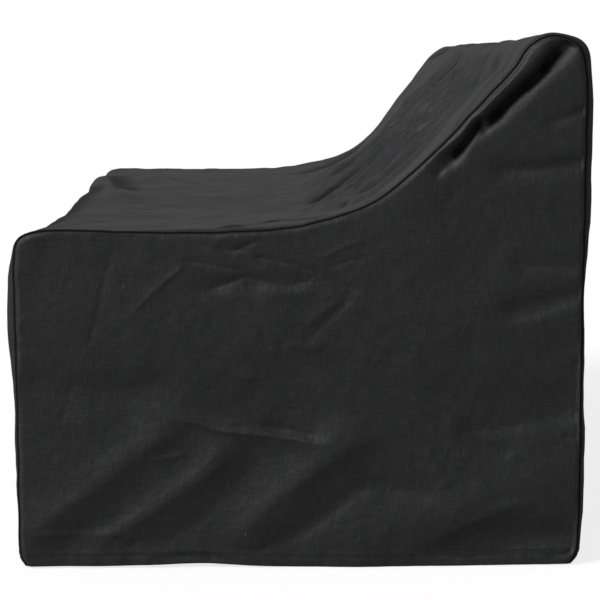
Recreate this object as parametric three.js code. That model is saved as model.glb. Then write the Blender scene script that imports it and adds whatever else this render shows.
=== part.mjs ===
// Outdoor cover for a two-seat sofa, as it hangs over the sofa's arms, seat and back.
// Three panels of coated cloth are sewn edge to edge: a left and a right side panel, and one
// centre panel that runs up the front, over the seat and up the slope, over the top and down the back.
// Millimetres. +X is the left side panel, -Y the front, +Z up, and Z = 0 is the hem.

import * as THREE from 'three';

// Driving dimensions
const SEAM_WIDTH = 1470; // across the front, from side seam to side seam
const SHOULDER_HEIGHT = 440; // front edge, up to where it starts to round over the arm
const BACK_SHOULDER_HEIGHT = 705; // back edge, up to where it starts to round over the top
const CLOTH = 2; // thickness of the coated cloth
const HEM_CLOTH = 3.4; // two layers turned up and stitched
const HEM_HEIGHTS = [0, 9, 25]; // rows of the turned-up hem
const SEAM_GAP = 0.6; // between two panels, along the seam
const SIDE_SWELL = 2.5; // how far a side panel swells out past its seam
const ROLL_REACH = 8; // over this distance from the seam

// Rows up a panel, as shares of the height above the hem: close together where the top seam's folds are
const ROW_FRACTIONS = [0.09, 0.18, 0.27, 0.36, 0.45, 0.54, 0.62, 0.69, 0.75, 0.8, 0.85, 0.89, 0.925,
  0.955, 0.98, 1];
const EVEN_SHARE = 0.2; // how far a side panel's columns even out towards the hem
const CENTRE_COLUMNS = { right: 9, left: 12 }; // steps from the centre panel's middle to its seams
const FOLD_FADE = 0.25; // share of a fold's length over which it fades in, and out again

// Front and back edges, by height: where the side seam stands, how far the centre panel swells out
// close to the seam, and how far it puffs out between the seams
const FRONT_EDGE = [
  { z: 0, y: -397, swell: 2, puff: 0 },
  { z: 12, y: -404, swell: 2, puff: 0 },
  { z: 34, y: -407, swell: 2, puff: 0 },
  { z: 160, y: -407, swell: 2, puff: 0 },
  { z: 250, y: -406.5, swell: 4, puff: 1 },
  { z: 300, y: -407, swell: 6.5, puff: 2 },
  { z: 338, y: -407, swell: 10, puff: 2 },
  { z: 375, y: -407, swell: 8, puff: 2 },
  { z: 440, y: -407.5, swell: 5, puff: 1 },
];
const BACK_EDGE = [
  { z: 0, y: 396, swell: 3, puff: 0 },
  { z: 12, y: 404, swell: 3.5, puff: 0 },
  { z: 34, y: 408, swell: 4, puff: 1 },
  { z: 130, y: 409, swell: 6, puff: 2 },
  { z: 250, y: 408.5, swell: 4, puff: 2 },
  { z: 440, y: 408, swell: 4, puff: -1 },
  { z: 520, y: 408, swell: 8, puff: 0 },
  { z: 705, y: 408, swell: 7.5, puff: 0 },
];

// The seams over the arms and up the back. The cloth hangs a little differently on each side,
// swells by the seams, sags in the middle, and is drawn in the given number of steps to the next row.
const TOP_EDGE = [
  { place: 'front shoulder', left: [-407.5, 440], right: [-407.5, 440], swell: 5, sag: 0, steps: 1 },
  { place: 'front corner', left: [-401, 473], right: [-404, 479], swell: 2, sag: 7, steps: 3 },
  { place: 'front of the arm', left: [-380, 488.3], right: [-391, 488], swell: 1.5, sag: 10, steps: 4 },
  { place: 'arm', left: [-210, 489.5], right: [-210, 489.5], swell: 1.5, sag: 13, steps: 3 },
  { place: 'back of the arm', left: [-84, 491], right: [-84, 493.5], swell: 1.5, sag: 15, steps: 2 },
  { place: 'start of the rise', left: [0, 498.5], right: [0, 496.5], swell: 1.5, sag: 17, steps: 3 },
  { place: 'low rise', left: [60, 514.5], right: [72, 510], swell: 1.5, sag: 17, steps: 2 },
  { place: 'middle rise', left: [105, 532.5], right: [110, 520.5], swell: 1.5, sag: 17, steps: 2 },
  { place: 'high rise', left: [146, 562], right: [155, 541.5], swell: 1.5, sag: 17, steps: 3 },
  { place: 'low slope', left: [198, 610.5], right: [204, 586], swell: 1.5, sag: 16, steps: 4 },
  { place: 'middle slope', left: [252, 667], right: [260, 659.5], swell: 1.5, sag: 14, steps: 4 },
  { place: 'high slope', left: [302, 722], right: [306, 722], swell: 1.5, sag: 9, steps: 2 },
  { place: 'below the crown', left: [325, 752.5], right: [327, 746], swell: 1.5, sag: 6, steps: 2 },
  { place: 'crown', left: [353, 766.5], right: [355, 763.5], swell: 1.5, sag: 3, steps: 2 },
  { place: 'behind the crown', left: [380, 762], right: [380, 761], swell: 3, sag: 1, steps: 2 },
  { place: 'back corner', left: [398, 747], right: [398, 746], swell: 7, sag: 0, steps: 2 },
  { place: 'back shoulder', left: [408, 705], right: [408, 705], swell: 7.5, sag: 0, steps: 0 },
];

// Across the width, the shape of the left seam gives way to that of the right one
const RIGHT_SHAPE_FROM = -650;
const LEFT_SHAPE_FROM = 0;
const SAG_LEAN = 350; // how far the deepest sag lies towards the left

// Folds are soft ridges (rise above 0) or troughs (below 0) along a line from a to b.
// bow is how far the line's middle bends to its left, and width is half the fold's width.
// On the side panels a and b are [depth, height]
const LEFT_FOLDS = [
  { name: 'swell under the arm', a: [-520, 345], b: [520, 345], bow: 0, width: 95, rise: 5 },
  { name: 'roll beside the back seam', a: [388, 778], b: [180, 572], bow: 0, width: 17, rise: 7 },
  { name: 'upper deep fold', a: [402, 776], b: [236, 619], bow: 0, width: 14, rise: -14 },
  { name: 'lower deep fold', a: [268, 657], b: [196, 576], bow: 0, width: 14, rise: -10 },
  { name: 'first drape', a: [-430, 10], b: [-140, 245], bow: 0, width: 32, rise: 5 },
  { name: 'second drape', a: [-320, 5], b: [-60, 215], bow: 0, width: 28, rise: 5 },
  { name: 'third drape', a: [-100, 0], b: [100, 235], bow: 6, width: 34, rise: 6 },
  { name: 'fourth drape', a: [0, 10], b: [460, 152], bow: 0, width: 40, rise: 6 },
  { name: 'low back hollow', a: [170, 26], b: [450, 32], bow: 18, width: 24, rise: -7 },
  { name: 'middle back hollow', a: [160, 256], b: [470, 243], bow: 0, width: 36, rise: -5 },
  { name: 'upper back dent', a: [255, 577], b: [450, 594], bow: -8, width: 14, rise: -4 },
  { name: 'back dent', a: [265, 368], b: [450, 412], bow: 0, width: 16, rise: -4 },
  { name: 'crease under the arm', a: [-180, 404], b: [60, 416], bow: 8, width: 13, rise: -3 },
  { name: 'crease across the middle', a: [-215, 236], b: [70, 180], bow: -10, width: 15, rise: 3 },
];
const RIGHT_FOLDS = [
  { name: 'swell under the arm', a: [-520, 330], b: [520, 345], bow: 0, width: 90, rise: 5 },
  { name: 'roll beside the back seam', a: [385, 772], b: [190, 572], bow: 0, width: 18, rise: 5 },
  { name: 'deep fold', a: [396, 762], b: [220, 588], bow: 0, width: 13, rise: -9 },
  { name: 'first drape', a: [-420, 30], b: [-180, 230], bow: 0, width: 34, rise: 4 },
  { name: 'second drape', a: [-210, 5], b: [-20, 210], bow: 8, width: 36, rise: 5 },
  { name: 'third drape', a: [60, 5], b: [330, 190], bow: 0, width: 38, rise: 5 },
  { name: 'low back hollow', a: [200, 40], b: [450, 60], bow: 14, width: 28, rise: -5 },
  { name: 'back dent', a: [250, 420], b: [450, 455], bow: 0, width: 20, rise: -4 },
];
// On the centre panel's front and back a and b are [across, height], and on its top [across, depth]
const FRONT_FOLDS = [
  { name: 'right corner pull', a: [-760, 470], b: [-430, 230], bow: 0, width: 32, rise: 4 },
  { name: 'right drape', a: [-430, 10], b: [-390, 400], bow: 20, width: 46, rise: -4 },
  { name: 'middle drape', a: [-90, 0], b: [-120, 340], bow: -20, width: 52, rise: 5 },
  { name: 'left drape', a: [250, 0], b: [300, 390], bow: 15, width: 46, rise: -4 },
  { name: 'left corner pull', a: [750, 455], b: [440, 220], bow: 0, width: 34, rise: 4 },
  { name: 'low swell', a: [450, 95], b: [700, 60], bow: 0, width: 38, rise: 4 },
];
const TOP_FOLDS = [
  { name: 'right front pull', a: [-760, -420], b: [-180, -250], bow: 0, width: 42, rise: -6 },
  { name: 'right front ridge', a: [-590, -414], b: [-330, -330], bow: 0, width: 50, rise: 8 },
  { name: 'left front pull', a: [760, -410], b: [330, -240], bow: 0, width: 50, rise: -4 },
  { name: 'far tension fold', a: [380, -20], b: [-290, 300], bow: 0, width: 46, rise: -5 },
  { name: 'middle tension fold', a: [560, 0], b: [60, 310], bow: 0, width: 46, rise: 5 },
  { name: 'near tension fold', a: [640, 30], b: [330, 320], bow: 0, width: 42, rise: -5 },
];
const BACK_FOLDS = [
  { name: 'left corner pull', a: [750, 740], b: [430, 430], bow: 0, width: 40, rise: 4 },
  { name: 'right corner pull', a: [-750, 740], b: [-470, 460], bow: 0, width: 40, rise: 4 },
  { name: 'left drape', a: [330, 10], b: [290, 520], bow: 25, width: 55, rise: -5 },
  { name: 'middle drape', a: [-20, 0], b: [30, 600], bow: -25, width: 60, rise: 5 },
  { name: 'right drape', a: [-380, 10], b: [-340, 480], bow: 20, width: 55, rise: -5 },
];

// Smooth steps and curves through a table's rows

function smoothstep(from, to, at) {
  const t = THREE.MathUtils.clamp((at - from) / (to - from), 0, 1);
  return t * t * (3 - 2 * t);
}

// A column's value at a height, on a smooth curve through the rows
function valueAt(rows, height, column) {
  const z = THREE.MathUtils.clamp(height, rows[0].z, rows.at(-1).z);
  const above = rows.findIndex((row, k) => k > 0 && row.z >= z);
  const below = above - 1;
  const slope = (k) => {
    const before = rows[Math.max(k - 1, 0)];
    const after = rows[Math.min(k + 1, rows.length - 1)];
    return (after[column] - before[column]) / (after.z - before.z);
  };
  const span = rows[above].z - rows[below].z;
  const t = (z - rows[below].z) / span;
  return (2 * t ** 3 - 3 * t ** 2 + 1) * rows[below][column]
    + (t ** 3 - 2 * t ** 2 + t) * span * slope(below)
    + (3 * t ** 2 - 2 * t ** 3) * rows[above][column]
    + (t ** 3 - t ** 2) * span * slope(above);
}

// The side seams, drawn from the front hem (at 0) to the front shoulder (1), over the top to the
// back shoulder (2) and down to the back hem (3). A point is [depth, height].

const topCurves = Object.fromEntries(['left', 'right'].map((side) => {
  const points = TOP_EDGE.map((row) => new THREE.Vector3(0, row[side][0], row[side][1]));
  return [side, new THREE.CatmullRomCurve3(points, false, 'centripetal')];
}));

function seamPoint(side, at) {
  if (at < 1) {
    const z = Math.max(at, 0) * SHOULDER_HEIGHT;
    return new THREE.Vector2(valueAt(FRONT_EDGE, z, 'y'), z);
  }
  if (at > 2) {
    const z = Math.max(3 - at, 0) * BACK_SHOULDER_HEIGHT;
    return new THREE.Vector2(valueAt(BACK_EDGE, z, 'y'), z);
  }
  const point = topCurves[side].getPoint(at - 1);
  return new THREE.Vector2(point.y, point.z);
}

// Between the seams the centre panel follows a blend of the two
function sectionPoint(at, x) {
  const share = smoothstep(RIGHT_SHAPE_FROM, LEFT_SHAPE_FROM, x);
  return seamPoint('right', at).lerp(seamPoint('left', at), share);
}

function outwards(pointAt, at) {
  const step = 0.001;
  const along = pointAt(Math.min(at + step, 3)).sub(pointAt(Math.max(at - step, 0)));
  return new THREE.Vector2(-along.y, along.x).normalize();
}

// Folds

function foldRise(folds, u, v) {
  return folds.reduce((rise, fold) => {
    const [lineU, lineV] = [fold.b[0] - fold.a[0], fold.b[1] - fold.a[1]];
    const [atU, atV] = [u - fold.a[0], v - fold.a[1]];
    const length = Math.hypot(lineU, lineV);
    const along = (atU * lineU + atV * lineV) / length ** 2;
    const aside = (atV * lineU - atU * lineV) / length;
    const off = (aside - 4 * fold.bow * along * (1 - along)) / fold.width;
    const fade = smoothstep(0, FOLD_FADE, along) * smoothstep(0, FOLD_FADE, 1 - along);
    return rise + fold.rise * Math.exp(-off * off) * fade;
  }, 0);
}

// How much of a panel's swell there is at a distance from the seam
function rollShare(distance) {
  const t = THREE.MathUtils.clamp(distance / ROLL_REACH, 0, 1);
  return 1 - (1 - t) ** 2;
}

function clothThickness(height) {
  return height < HEM_HEIGHTS.at(-1) ? HEM_CLOTH : CLOTH;
}

// A sheet from a grid of outer points and a grid of inner points, closed along its four rims

function sheetSolid(outer, inner) {
  const rows = outer.length;
  const columns = outer[0].length;
  const positions = [...outer.flat(), ...inner.flat()].flatMap((p) => [p.x, p.y, p.z]);
  const out = (i, j) => i * columns + j;
  const inn = (i, j) => rows * columns + out(i, j);
  const index = [];
  const quad = (a, b, c, d) => index.push(a, b, c, a, c, d);
  for (let i = 0; i < rows - 1; i += 1) {
    for (let j = 0; j < columns - 1; j += 1) {
      quad(out(i, j), out(i, j + 1), out(i + 1, j + 1), out(i + 1, j));
      quad(inn(i, j), inn(i + 1, j), inn(i + 1, j + 1), inn(i, j + 1));
    }
  }
  for (let j = 0; j < columns - 1; j += 1) {
    quad(out(0, j + 1), out(0, j), inn(0, j), inn(0, j + 1));
    quad(out(rows - 1, j), out(rows - 1, j + 1), inn(rows - 1, j + 1), inn(rows - 1, j));
  }
  for (let i = 0; i < rows - 1; i += 1) {
    quad(out(i, 0), out(i + 1, 0), inn(i + 1, 0), inn(i, 0));
    quad(out(i + 1, columns - 1), out(i, columns - 1), inn(i, columns - 1), inn(i + 1, columns - 1));
  }
  const geometry = new THREE.BufferGeometry();
  geometry.setAttribute('position', new THREE.Float32BufferAttribute(positions, 3));
  geometry.setIndex(index);
  geometry.computeVertexNormals();
  return geometry;
}

// Where all three panels are drawn along the seams: up the front, over the top and down the back

function edgeHeights(shoulder) {
  const hemTop = HEM_HEIGHTS.at(-1);
  const above = ROW_FRACTIONS.map((fraction) => hemTop + fraction * (shoulder - hemTop));
  return [...HEM_HEIGHTS, ...above];
}

const frontStations = edgeHeights(SHOULDER_HEIGHT).map((z) => z / SHOULDER_HEIGHT);
const backStations = edgeHeights(BACK_SHOULDER_HEIGHT).map((z) => 3 - z / BACK_SHOULDER_HEIGHT);
const topStations = TOP_EDGE.flatMap((row, i) => (
  Array.from({ length: row.steps }, (_, k) => 1 + (i + k / row.steps) / (TOP_EDGE.length - 1))));
topStations.push(2);
const seamStations = [...frontStations, ...topStations.slice(1), ...backStations.toReversed().slice(1)];

// At the seam two panels meet on the line that halves the angle between them, a thread's gap apart
function seamRim(side, at, belongsTo) {
  const sign = side === 'left' ? 1 : -1;
  const seamAt = (station) => seamPoint(side, station);
  const seam = seamAt(at);
  const inHem = seam.y <= HEM_HEIGHTS.at(-1);
  const normal = inHem ? new THREE.Vector2(Math.sign(seam.x), 0) : outwards(seamAt, at);
  const mitre = clothThickness(seam.y) * Math.SQRT1_2;
  const half = SEAM_GAP / 2;
  const outer = belongsTo === 'centre'
    ? new THREE.Vector3(SEAM_WIDTH / 2 - half, seam.x, seam.y)
    : new THREE.Vector3(SEAM_WIDTH / 2, seam.x - normal.x * half, seam.y - normal.y * half);
  const inner = outer.clone().sub(new THREE.Vector3(mitre, normal.x * mitre, normal.y * mitre));
  outer.x *= sign;
  inner.x *= sign;
  return { outer, inner };
}

// The cloth's outer and inner points at (u, v) of a surface that faces out along u crossed with v
function clothPoints(surface, u, v, { stepU, stepV, level }) {
  const alongU = surface(u + stepU, v).sub(surface(u - stepU, v));
  const alongV = surface(u, v + stepV).sub(surface(u, v - stepV));
  const normal = alongU.cross(alongV);
  const outer = surface(u, v);
  if (level) {
    normal.z = 0;
    outer.z = 0;
  }
  const inner = outer.clone().addScaledVector(normal.normalize(), -clothThickness(outer.z));
  return { outer, inner };
}

function sheetFromCells(cells) {
  return sheetSolid(cells.map((row) => row.map((cell) => cell.outer)),
    cells.map((row) => row.map((cell) => cell.inner)));
}

// Side panels: columns run from the front edge to the back edge, rows from the hem to the top seam

function sidePanel(side, folds) {
  const sign = side === 'left' ? 1 : -1;
  const seamAt = (at) => seamPoint(side, at);
  const seamLine = seamStations.map(seamAt);
  const distanceToSeam = (point) => {
    let nearest = Infinity;
    for (let i = 0; i < seamLine.length - 1; i += 1) {
      const line = seamLine[i + 1].clone().sub(seamLine[i]);
      const reach = point.clone().sub(seamLine[i]);
      const t = THREE.MathUtils.clamp(reach.dot(line) / line.lengthSq(), 0, 1);
      nearest = Math.min(nearest, reach.addScaledVector(line, -t).length());
    }
    return nearest;
  };
  const surface = (y, z) => {
    const swell = SIDE_SWELL * rollShare(distanceToSeam(new THREE.Vector2(y, z)));
    return new THREE.Vector3(sign * (SEAM_WIDTH / 2 + swell + foldRise(folds, y, z)), y, z);
  };

  const frontHem = seamAt(0);
  const backHem = seamAt(3);
  const lastRow = frontStations.length - 1;
  const lastColumn = topStations.length - 1;
  const cells = frontStations.map((_, i) => topStations.map((station, j) => {
    if (i === lastRow) {
      return seamRim(side, station, 'side');
    }
    if (j === 0) {
      return seamRim(side, frontStations[i], 'side');
    }
    if (j === lastColumn) {
      return seamRim(side, backStations[i], 'side');
    }
    const top = seamAt(station);
    const heights = edgeHeights(top.y);
    const share = (top.x - seamAt(1).x) / (seamAt(2).x - seamAt(1).x);
    const spread = THREE.MathUtils.lerp(share, j / lastColumn, EVEN_SHARE);
    const low = THREE.MathUtils.lerp(frontHem.x, backHem.x, spread);
    const y = THREE.MathUtils.lerp(low, top.x, heights[i] / top.y);
    return clothPoints(surface, y, heights[i], { stepU: sign * 2, stepV: 2, level: i === 0 });
  }));
  if (side === 'right') {
    cells.forEach((row) => row.reverse());
  }
  return sheetFromCells(cells);
}

// Centre panel: columns run across from the right seam to the left one, rows from the front hem
// over the top to the back hem

function centrePanel() {
  const half = SEAM_WIDTH / 2;
  const inset = half - ROLL_REACH;
  const steps = (count, from, to) => (
    Array.from({ length: count }, (_, k) => from + (k / count) * (to - from)));
  const columns = [
    -half,
    ...steps(CENTRE_COLUMNS.right, -inset, 0),
    ...steps(CENTRE_COLUMNS.left, 0, inset),
    inset,
    half,
  ];

  const topValue = (at, column) => {
    const place = (at - 1) * (TOP_EDGE.length - 1);
    const row = Math.min(Math.floor(place), TOP_EDGE.length - 2);
    return THREE.MathUtils.lerp(TOP_EDGE[row][column], TOP_EDGE[row + 1][column], place - row);
  };
  const surface = (x, at) => {
    const section = (station) => sectionPoint(station, x);
    const point = section(at);
    const normal = outwards(section, at);
    const onTop = at >= 1 && at <= 2;
    const edge = at < 1 ? FRONT_EDGE : BACK_EDGE;
    const folds = at < 1 ? FRONT_FOLDS : BACK_FOLDS;
    const swell = onTop ? topValue(at, 'swell') : valueAt(edge, point.y, 'swell');
    const puff = onTop ? 0 : valueAt(edge, point.y, 'puff');
    const sag = onTop ? topValue(at, 'sag') : 0;
    const leaning = x - SAG_LEAN * (1 - (x / half) ** 2);
    const rise = onTop ? foldRise(TOP_FOLDS, x, point.x) : foldRise(folds, x, point.y);
    const offset = swell * rollShare(half - Math.abs(x)) + puff * (1 - (Math.abs(x) / half) ** 8)
      - sag * Math.cos((Math.PI * leaning) / SEAM_WIDTH) ** 2 + rise;
    point.addScaledVector(normal, offset);
    return new THREE.Vector3(x, point.x, point.y);
  };

  const cells = seamStations.map((at) => columns.map((x, j) => {
    if (j === 0) {
      return seamRim('right', at, 'centre');
    }
    if (j === columns.length - 1) {
      return seamRim('left', at, 'centre');
    }
    return clothPoints(surface, x, at, { stepU: 2, stepV: 0.002, level: at === 0 || at === 3 });
  }));
  return sheetFromCells(cells);
}

// The whole cover, set with the middle of its footprint at X = 0, Y = 0

const coatedCloth = () => new THREE.MeshStandardMaterial({
  color: 0x26282b,
  roughness: 0.72,
  metalness: 0,
  side: THREE.DoubleSide,
});

function panel(name, geometry) {
  const mesh = new THREE.Mesh(geometry, coatedCloth());
  mesh.name = name;
  return mesh;
}

const cover = new THREE.Group();
cover.add(
  panel('left_side_panel', sidePanel('left', LEFT_FOLDS)),
  panel('right_side_panel', sidePanel('right', RIGHT_FOLDS)),
  panel('centre_panel', centrePanel()),
);

const extent = new THREE.Box3().setFromObject(cover, true);
const middle = extent.getCenter(new THREE.Vector3());
cover.position.set(-middle.x, -middle.y, -extent.min.z);

export default cover;
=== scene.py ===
"""Outdoor sofa cover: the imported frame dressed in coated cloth.

Three sheets of cloth are built on the same seam lines as the frame, with the folds, creases and
seam puckers of the real cover: a left and a right side panel, and one long centre panel that runs
up the front, over the seat and up the slope, over the top and down the back.

The tables are in millimetres, in the drawing's own axes: +X is the left side panel, -Y the front,
+Z up, and Z = 0 is the hem. Each table has named columns, one row for each knot, fold or crease.
"""

import math
from collections import namedtuple

import bpy
import numpy as np
from bpy.props import FloatProperty, FloatVectorProperty, IntProperty, PointerProperty
from bpy.types import Operator, Panel, PropertyGroup
from mathutils import Euler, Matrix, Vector
from mathutils.kdtree import KDTree


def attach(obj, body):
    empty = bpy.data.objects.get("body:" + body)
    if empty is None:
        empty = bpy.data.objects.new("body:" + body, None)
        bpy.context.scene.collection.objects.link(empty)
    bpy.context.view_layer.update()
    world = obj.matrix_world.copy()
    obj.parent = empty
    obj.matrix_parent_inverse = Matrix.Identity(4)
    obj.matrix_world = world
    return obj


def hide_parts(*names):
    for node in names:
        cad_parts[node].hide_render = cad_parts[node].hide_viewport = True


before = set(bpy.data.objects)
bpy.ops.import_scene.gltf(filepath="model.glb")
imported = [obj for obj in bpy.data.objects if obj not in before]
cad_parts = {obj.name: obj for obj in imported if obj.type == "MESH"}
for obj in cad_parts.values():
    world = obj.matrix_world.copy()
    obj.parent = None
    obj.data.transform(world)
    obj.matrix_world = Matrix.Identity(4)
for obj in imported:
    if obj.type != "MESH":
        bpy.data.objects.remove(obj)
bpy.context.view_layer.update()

bl_info = {
    "name": "Outdoor Sofa Cover",
    "version": (1, 0, 0),
    "blender": (4, 5, 0),
    "location": "View3D > Sidebar > Sofa Cover",
    "description": "Dresses the packed frame of a fitted outdoor sofa cover in coated cloth",
    "category": "Add Mesh",
}

BODY = "root"
CLOTH_MATERIAL = "woven_coated_cloth"
CUT_MAP = "flat_cut"
# The point attribute that carries the shade painted into the seams and creases
PAINTED_SHADE_MAP = "recess"
MILLIMETRE = 0.001
SIDE_SIGN = {"left": 1, "right": -1}
# The frame is centred on the cover's footprint, a little off the drawing's own zero
DRAWING_SHIFT = np.array([-0.519, 0.367, 0.0])


# Seam lines. At each height of the front and the back: the seam's depth, how far the cloth swells
# out past it, and how far the cloth puffs out in the middle.

EdgeRow = namedtuple("EdgeRow", "z y swell puff")
FRONT_EDGE = [
    EdgeRow(z=0, y=-397, swell=2, puff=0),
    EdgeRow(z=12, y=-404, swell=2, puff=0),
    EdgeRow(z=34, y=-407, swell=2, puff=0),
    EdgeRow(z=160, y=-407, swell=2, puff=0),
    EdgeRow(z=250, y=-406.5, swell=4, puff=1),
    EdgeRow(z=300, y=-407, swell=6.5, puff=2),
    EdgeRow(z=338, y=-407, swell=10, puff=2),
    EdgeRow(z=375, y=-407, swell=8, puff=2),
    EdgeRow(z=440, y=-407.5, swell=5, puff=1),
]
BACK_EDGE = [
    EdgeRow(z=0, y=396, swell=3, puff=0),
    EdgeRow(z=12, y=404, swell=3.5, puff=0),
    EdgeRow(z=34, y=408, swell=4, puff=1),
    EdgeRow(z=130, y=409, swell=6, puff=2),
    EdgeRow(z=250, y=408.5, swell=4, puff=2),
    EdgeRow(z=440, y=408, swell=4, puff=-1),
    EdgeRow(z=520, y=408, swell=8, puff=0),
    EdgeRow(z=705, y=408, swell=7.5, puff=0),
]

# The seams over the arms and up the back: [depth, height] on each side, how far the cloth swells
# out past the seam, and how far it sags between them
TopRow = namedtuple("TopRow", "place left right swell sag")
TOP_EDGE = [
    TopRow("front shoulder", (-407.5, 440), (-407.5, 440), 5, 0),
    TopRow("front corner", (-402, 475), (-404, 480), 2, 7),
    TopRow("front of the arm", (-383, 489), (-391, 489), 1.5, 10),
    TopRow("arm", (-210, 489.5), (-210, 489.5), 1.5, 13),
    TopRow("back of the arm", (-84, 491), (-84, 493.5), 1.5, 15),
    TopRow("start of the rise", (0, 498.5), (0, 496.5), 1.5, 17),
    TopRow("low rise", (60, 514.5), (72, 510), 1.5, 17),
    TopRow("middle rise", (105, 532.5), (110, 520.5), 1.5, 17),
    TopRow("high rise", (146, 562), (155, 541.5), 1.5, 17),
    TopRow("low slope", (198, 610.5), (204, 586), 1.5, 16),
    TopRow("middle slope", (252, 667), (260, 659.5), 1.5, 14),
    TopRow("high slope", (302, 722), (306, 722), 1.5, 9),
    TopRow("below the crown", (325, 752.5), (327, 746), 1.5, 6),
    TopRow("crown", (353, 766.5), (355, 763.5), 1.5, 3),
    TopRow("behind the crown", (380, 762), (380, 761), 3, 1),
    TopRow("back corner", (398, 747), (398, 746), 9, 0),
    TopRow("back shoulder", (408, 705), (408, 705), 7.5, 0),
]

# Across the centre panel: where the right seam's shape gives way to the left one's, and how far
# the deepest sag lies off the middle
RIGHT_SHAPE_FROM = -650
LEFT_SHAPE_FROM = 0
SAG_LEAN = 350

# Fine pleats on the slope run side by side, shifted across by this much at each depth
PleatRow = namedtuple("PleatRow", "depth shift height")
PLEAT_ROWS = [
    PleatRow(depth=10, shift=250, height=0),
    PleatRow(depth=50, shift=120, height=3.2),
    PleatRow(depth=86, shift=25, height=7.4),
    PleatRow(depth=106, shift=-10, height=9.6),
    PleatRow(depth=140, shift=-45, height=11.4),
    PleatRow(depth=177, shift=-70, height=12.4),
    PleatRow(depth=202, shift=-85, height=12.4),
    PleatRow(depth=250, shift=-50, height=10.4),
    PleatRow(depth=304, shift=0, height=4.4),
    PleatRow(depth=330, shift=20, height=0),
]
PLEAT_SPACING = 21.0
PLEAT_LENGTH = 150.0
PLEAT_CREST = 0.45

# Across the cloth, the pleats grow up between the first two places, and die away between the others
PLEATS_FROM = (-360, -180)
PLEATS_TO = (640, 330)

# Points lie closer together on the pleated part, and beside the top corners of a side panel
PLEATED_FROM = (-340, -220)
CORNER_REACH = 18.0

# How far the hem hangs above the floor, by depth on each side
HemRow = namedtuple("HemRow", "y left right")
HEM_WAVE = [
    HemRow(y=-396, left=1.8, right=2.5),
    HemRow(y=-280, left=2.2, right=1.4),
    HemRow(y=-205, left=3.6, right=1.0),
    HemRow(y=-139, left=5.1, right=1.5),
    HemRow(y=-88, left=2.6, right=2.5),
    HemRow(y=-29, left=0.3, right=3.0),
    HemRow(y=45, left=-0.3, right=2.5),
    HemRow(y=148, left=-0.3, right=1.0),
    HemRow(y=267, left=-0.1, right=1.0),
    HemRow(y=386, left=0.8, right=1.4),
]


# Folds of the frame's solids, along a line from a to b. bow is how far the line's middle bends to
# its left, width is half the fold's width, and rise is above 0 for a ridge, below 0 for a trough.

Fold = namedtuple("Fold", "name a b bow width rise")
LEFT_FOLDS = [
    Fold("swell under the arm", (-520, 345), (520, 345), 0, 95, 5),
    Fold("roll beside the back seam", (388, 778), (180, 572), 0, 17, 7),
    Fold("upper deep fold", (402, 776), (236, 619), 0, 14, -14),
    Fold("lower deep fold", (268, 657), (196, 576), 0, 14, -10),
    Fold("first drape", (-430, 10), (-140, 245), 0, 32, 5),
    Fold("second drape", (-320, 5), (-60, 215), 0, 28, 5),
    Fold("third drape", (-100, 0), (100, 235), 6, 34, 6),
    Fold("fourth drape", (0, 10), (460, 152), 0, 40, 6),
    Fold("low back hollow", (170, 26), (450, 32), 18, 24, -7),
    Fold("middle back hollow", (160, 256), (470, 243), 0, 36, -5),
    Fold("upper back dent", (255, 577), (450, 594), -8, 14, -4),
    Fold("back dent", (265, 368), (450, 412), 0, 16, -4),
    Fold("crease under the arm", (-180, 404), (60, 416), 8, 13, -3),
    Fold("crease across the middle", (-215, 236), (70, 180), -10, 15, 3),
]
RIGHT_FOLDS = [
    Fold("swell under the arm", (-520, 330), (520, 345), 0, 90, 5),
    Fold("roll beside the back seam", (385, 772), (190, 572), 0, 18, 5),
    Fold("deep fold", (396, 762), (220, 588), 0, 13, -9),
    Fold("first drape", (-420, 30), (-180, 230), 0, 34, 4),
    Fold("second drape", (-210, 5), (-20, 210), 8, 36, 5),
    Fold("third drape", (60, 5), (330, 190), 0, 38, 5),
    Fold("low back hollow", (200, 40), (450, 60), 14, 28, -5),
    Fold("back dent", (250, 420), (450, 455), 0, 20, -4),
]
FRONT_FOLDS = [
    Fold("right corner pull", (-760, 470), (-430, 230), 0, 32, 4),
    Fold("right drape", (-430, 10), (-390, 400), 20, 46, -4),
    Fold("middle drape", (-90, 0), (-120, 340), -20, 52, 5),
    Fold("left drape", (250, 0), (300, 390), 15, 46, -4),
    Fold("left corner pull", (750, 455), (440, 220), 0, 34, 4),
    Fold("low swell", (450, 95), (700, 60), 0, 38, 4),
]
TOP_FOLDS = [
    Fold("right front pull", (-760, -420), (-180, -250), 0, 42, -6),
    Fold("right front ridge", (-590, -414), (-330, -330), 0, 50, 2),
    Fold("left front pull", (760, -410), (330, -240), 0, 50, -4),
    Fold("far tension fold", (380, -20), (-290, 300), 0, 46, -5),
    Fold("middle tension fold", (560, 0), (60, 310), 0, 46, 5),
    Fold("near tension fold", (640, 30), (330, 320), 0, 42, -5),
]
BACK_FOLDS = [
    Fold("left corner pull", (750, 740), (430, 430), 0, 40, 4),
    Fold("right corner pull", (-750, 740), (-470, 460), 0, 40, 4),
    Fold("left drape", (330, 10), (290, 520), 25, 55, -5),
    Fold("middle drape", (-20, 0), (30, 600), -25, 60, 5),
    Fold("right drape", (-380, 10), (-340, 480), 20, 55, -5),
]
FOLD_FADE = 0.25


# Finer creases, on a smooth path through a few points. soft is 1 for a rounded crest and 0.2 for a
# sharp one. lean widens the crease on the left of its path and narrows it on the right.

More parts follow.
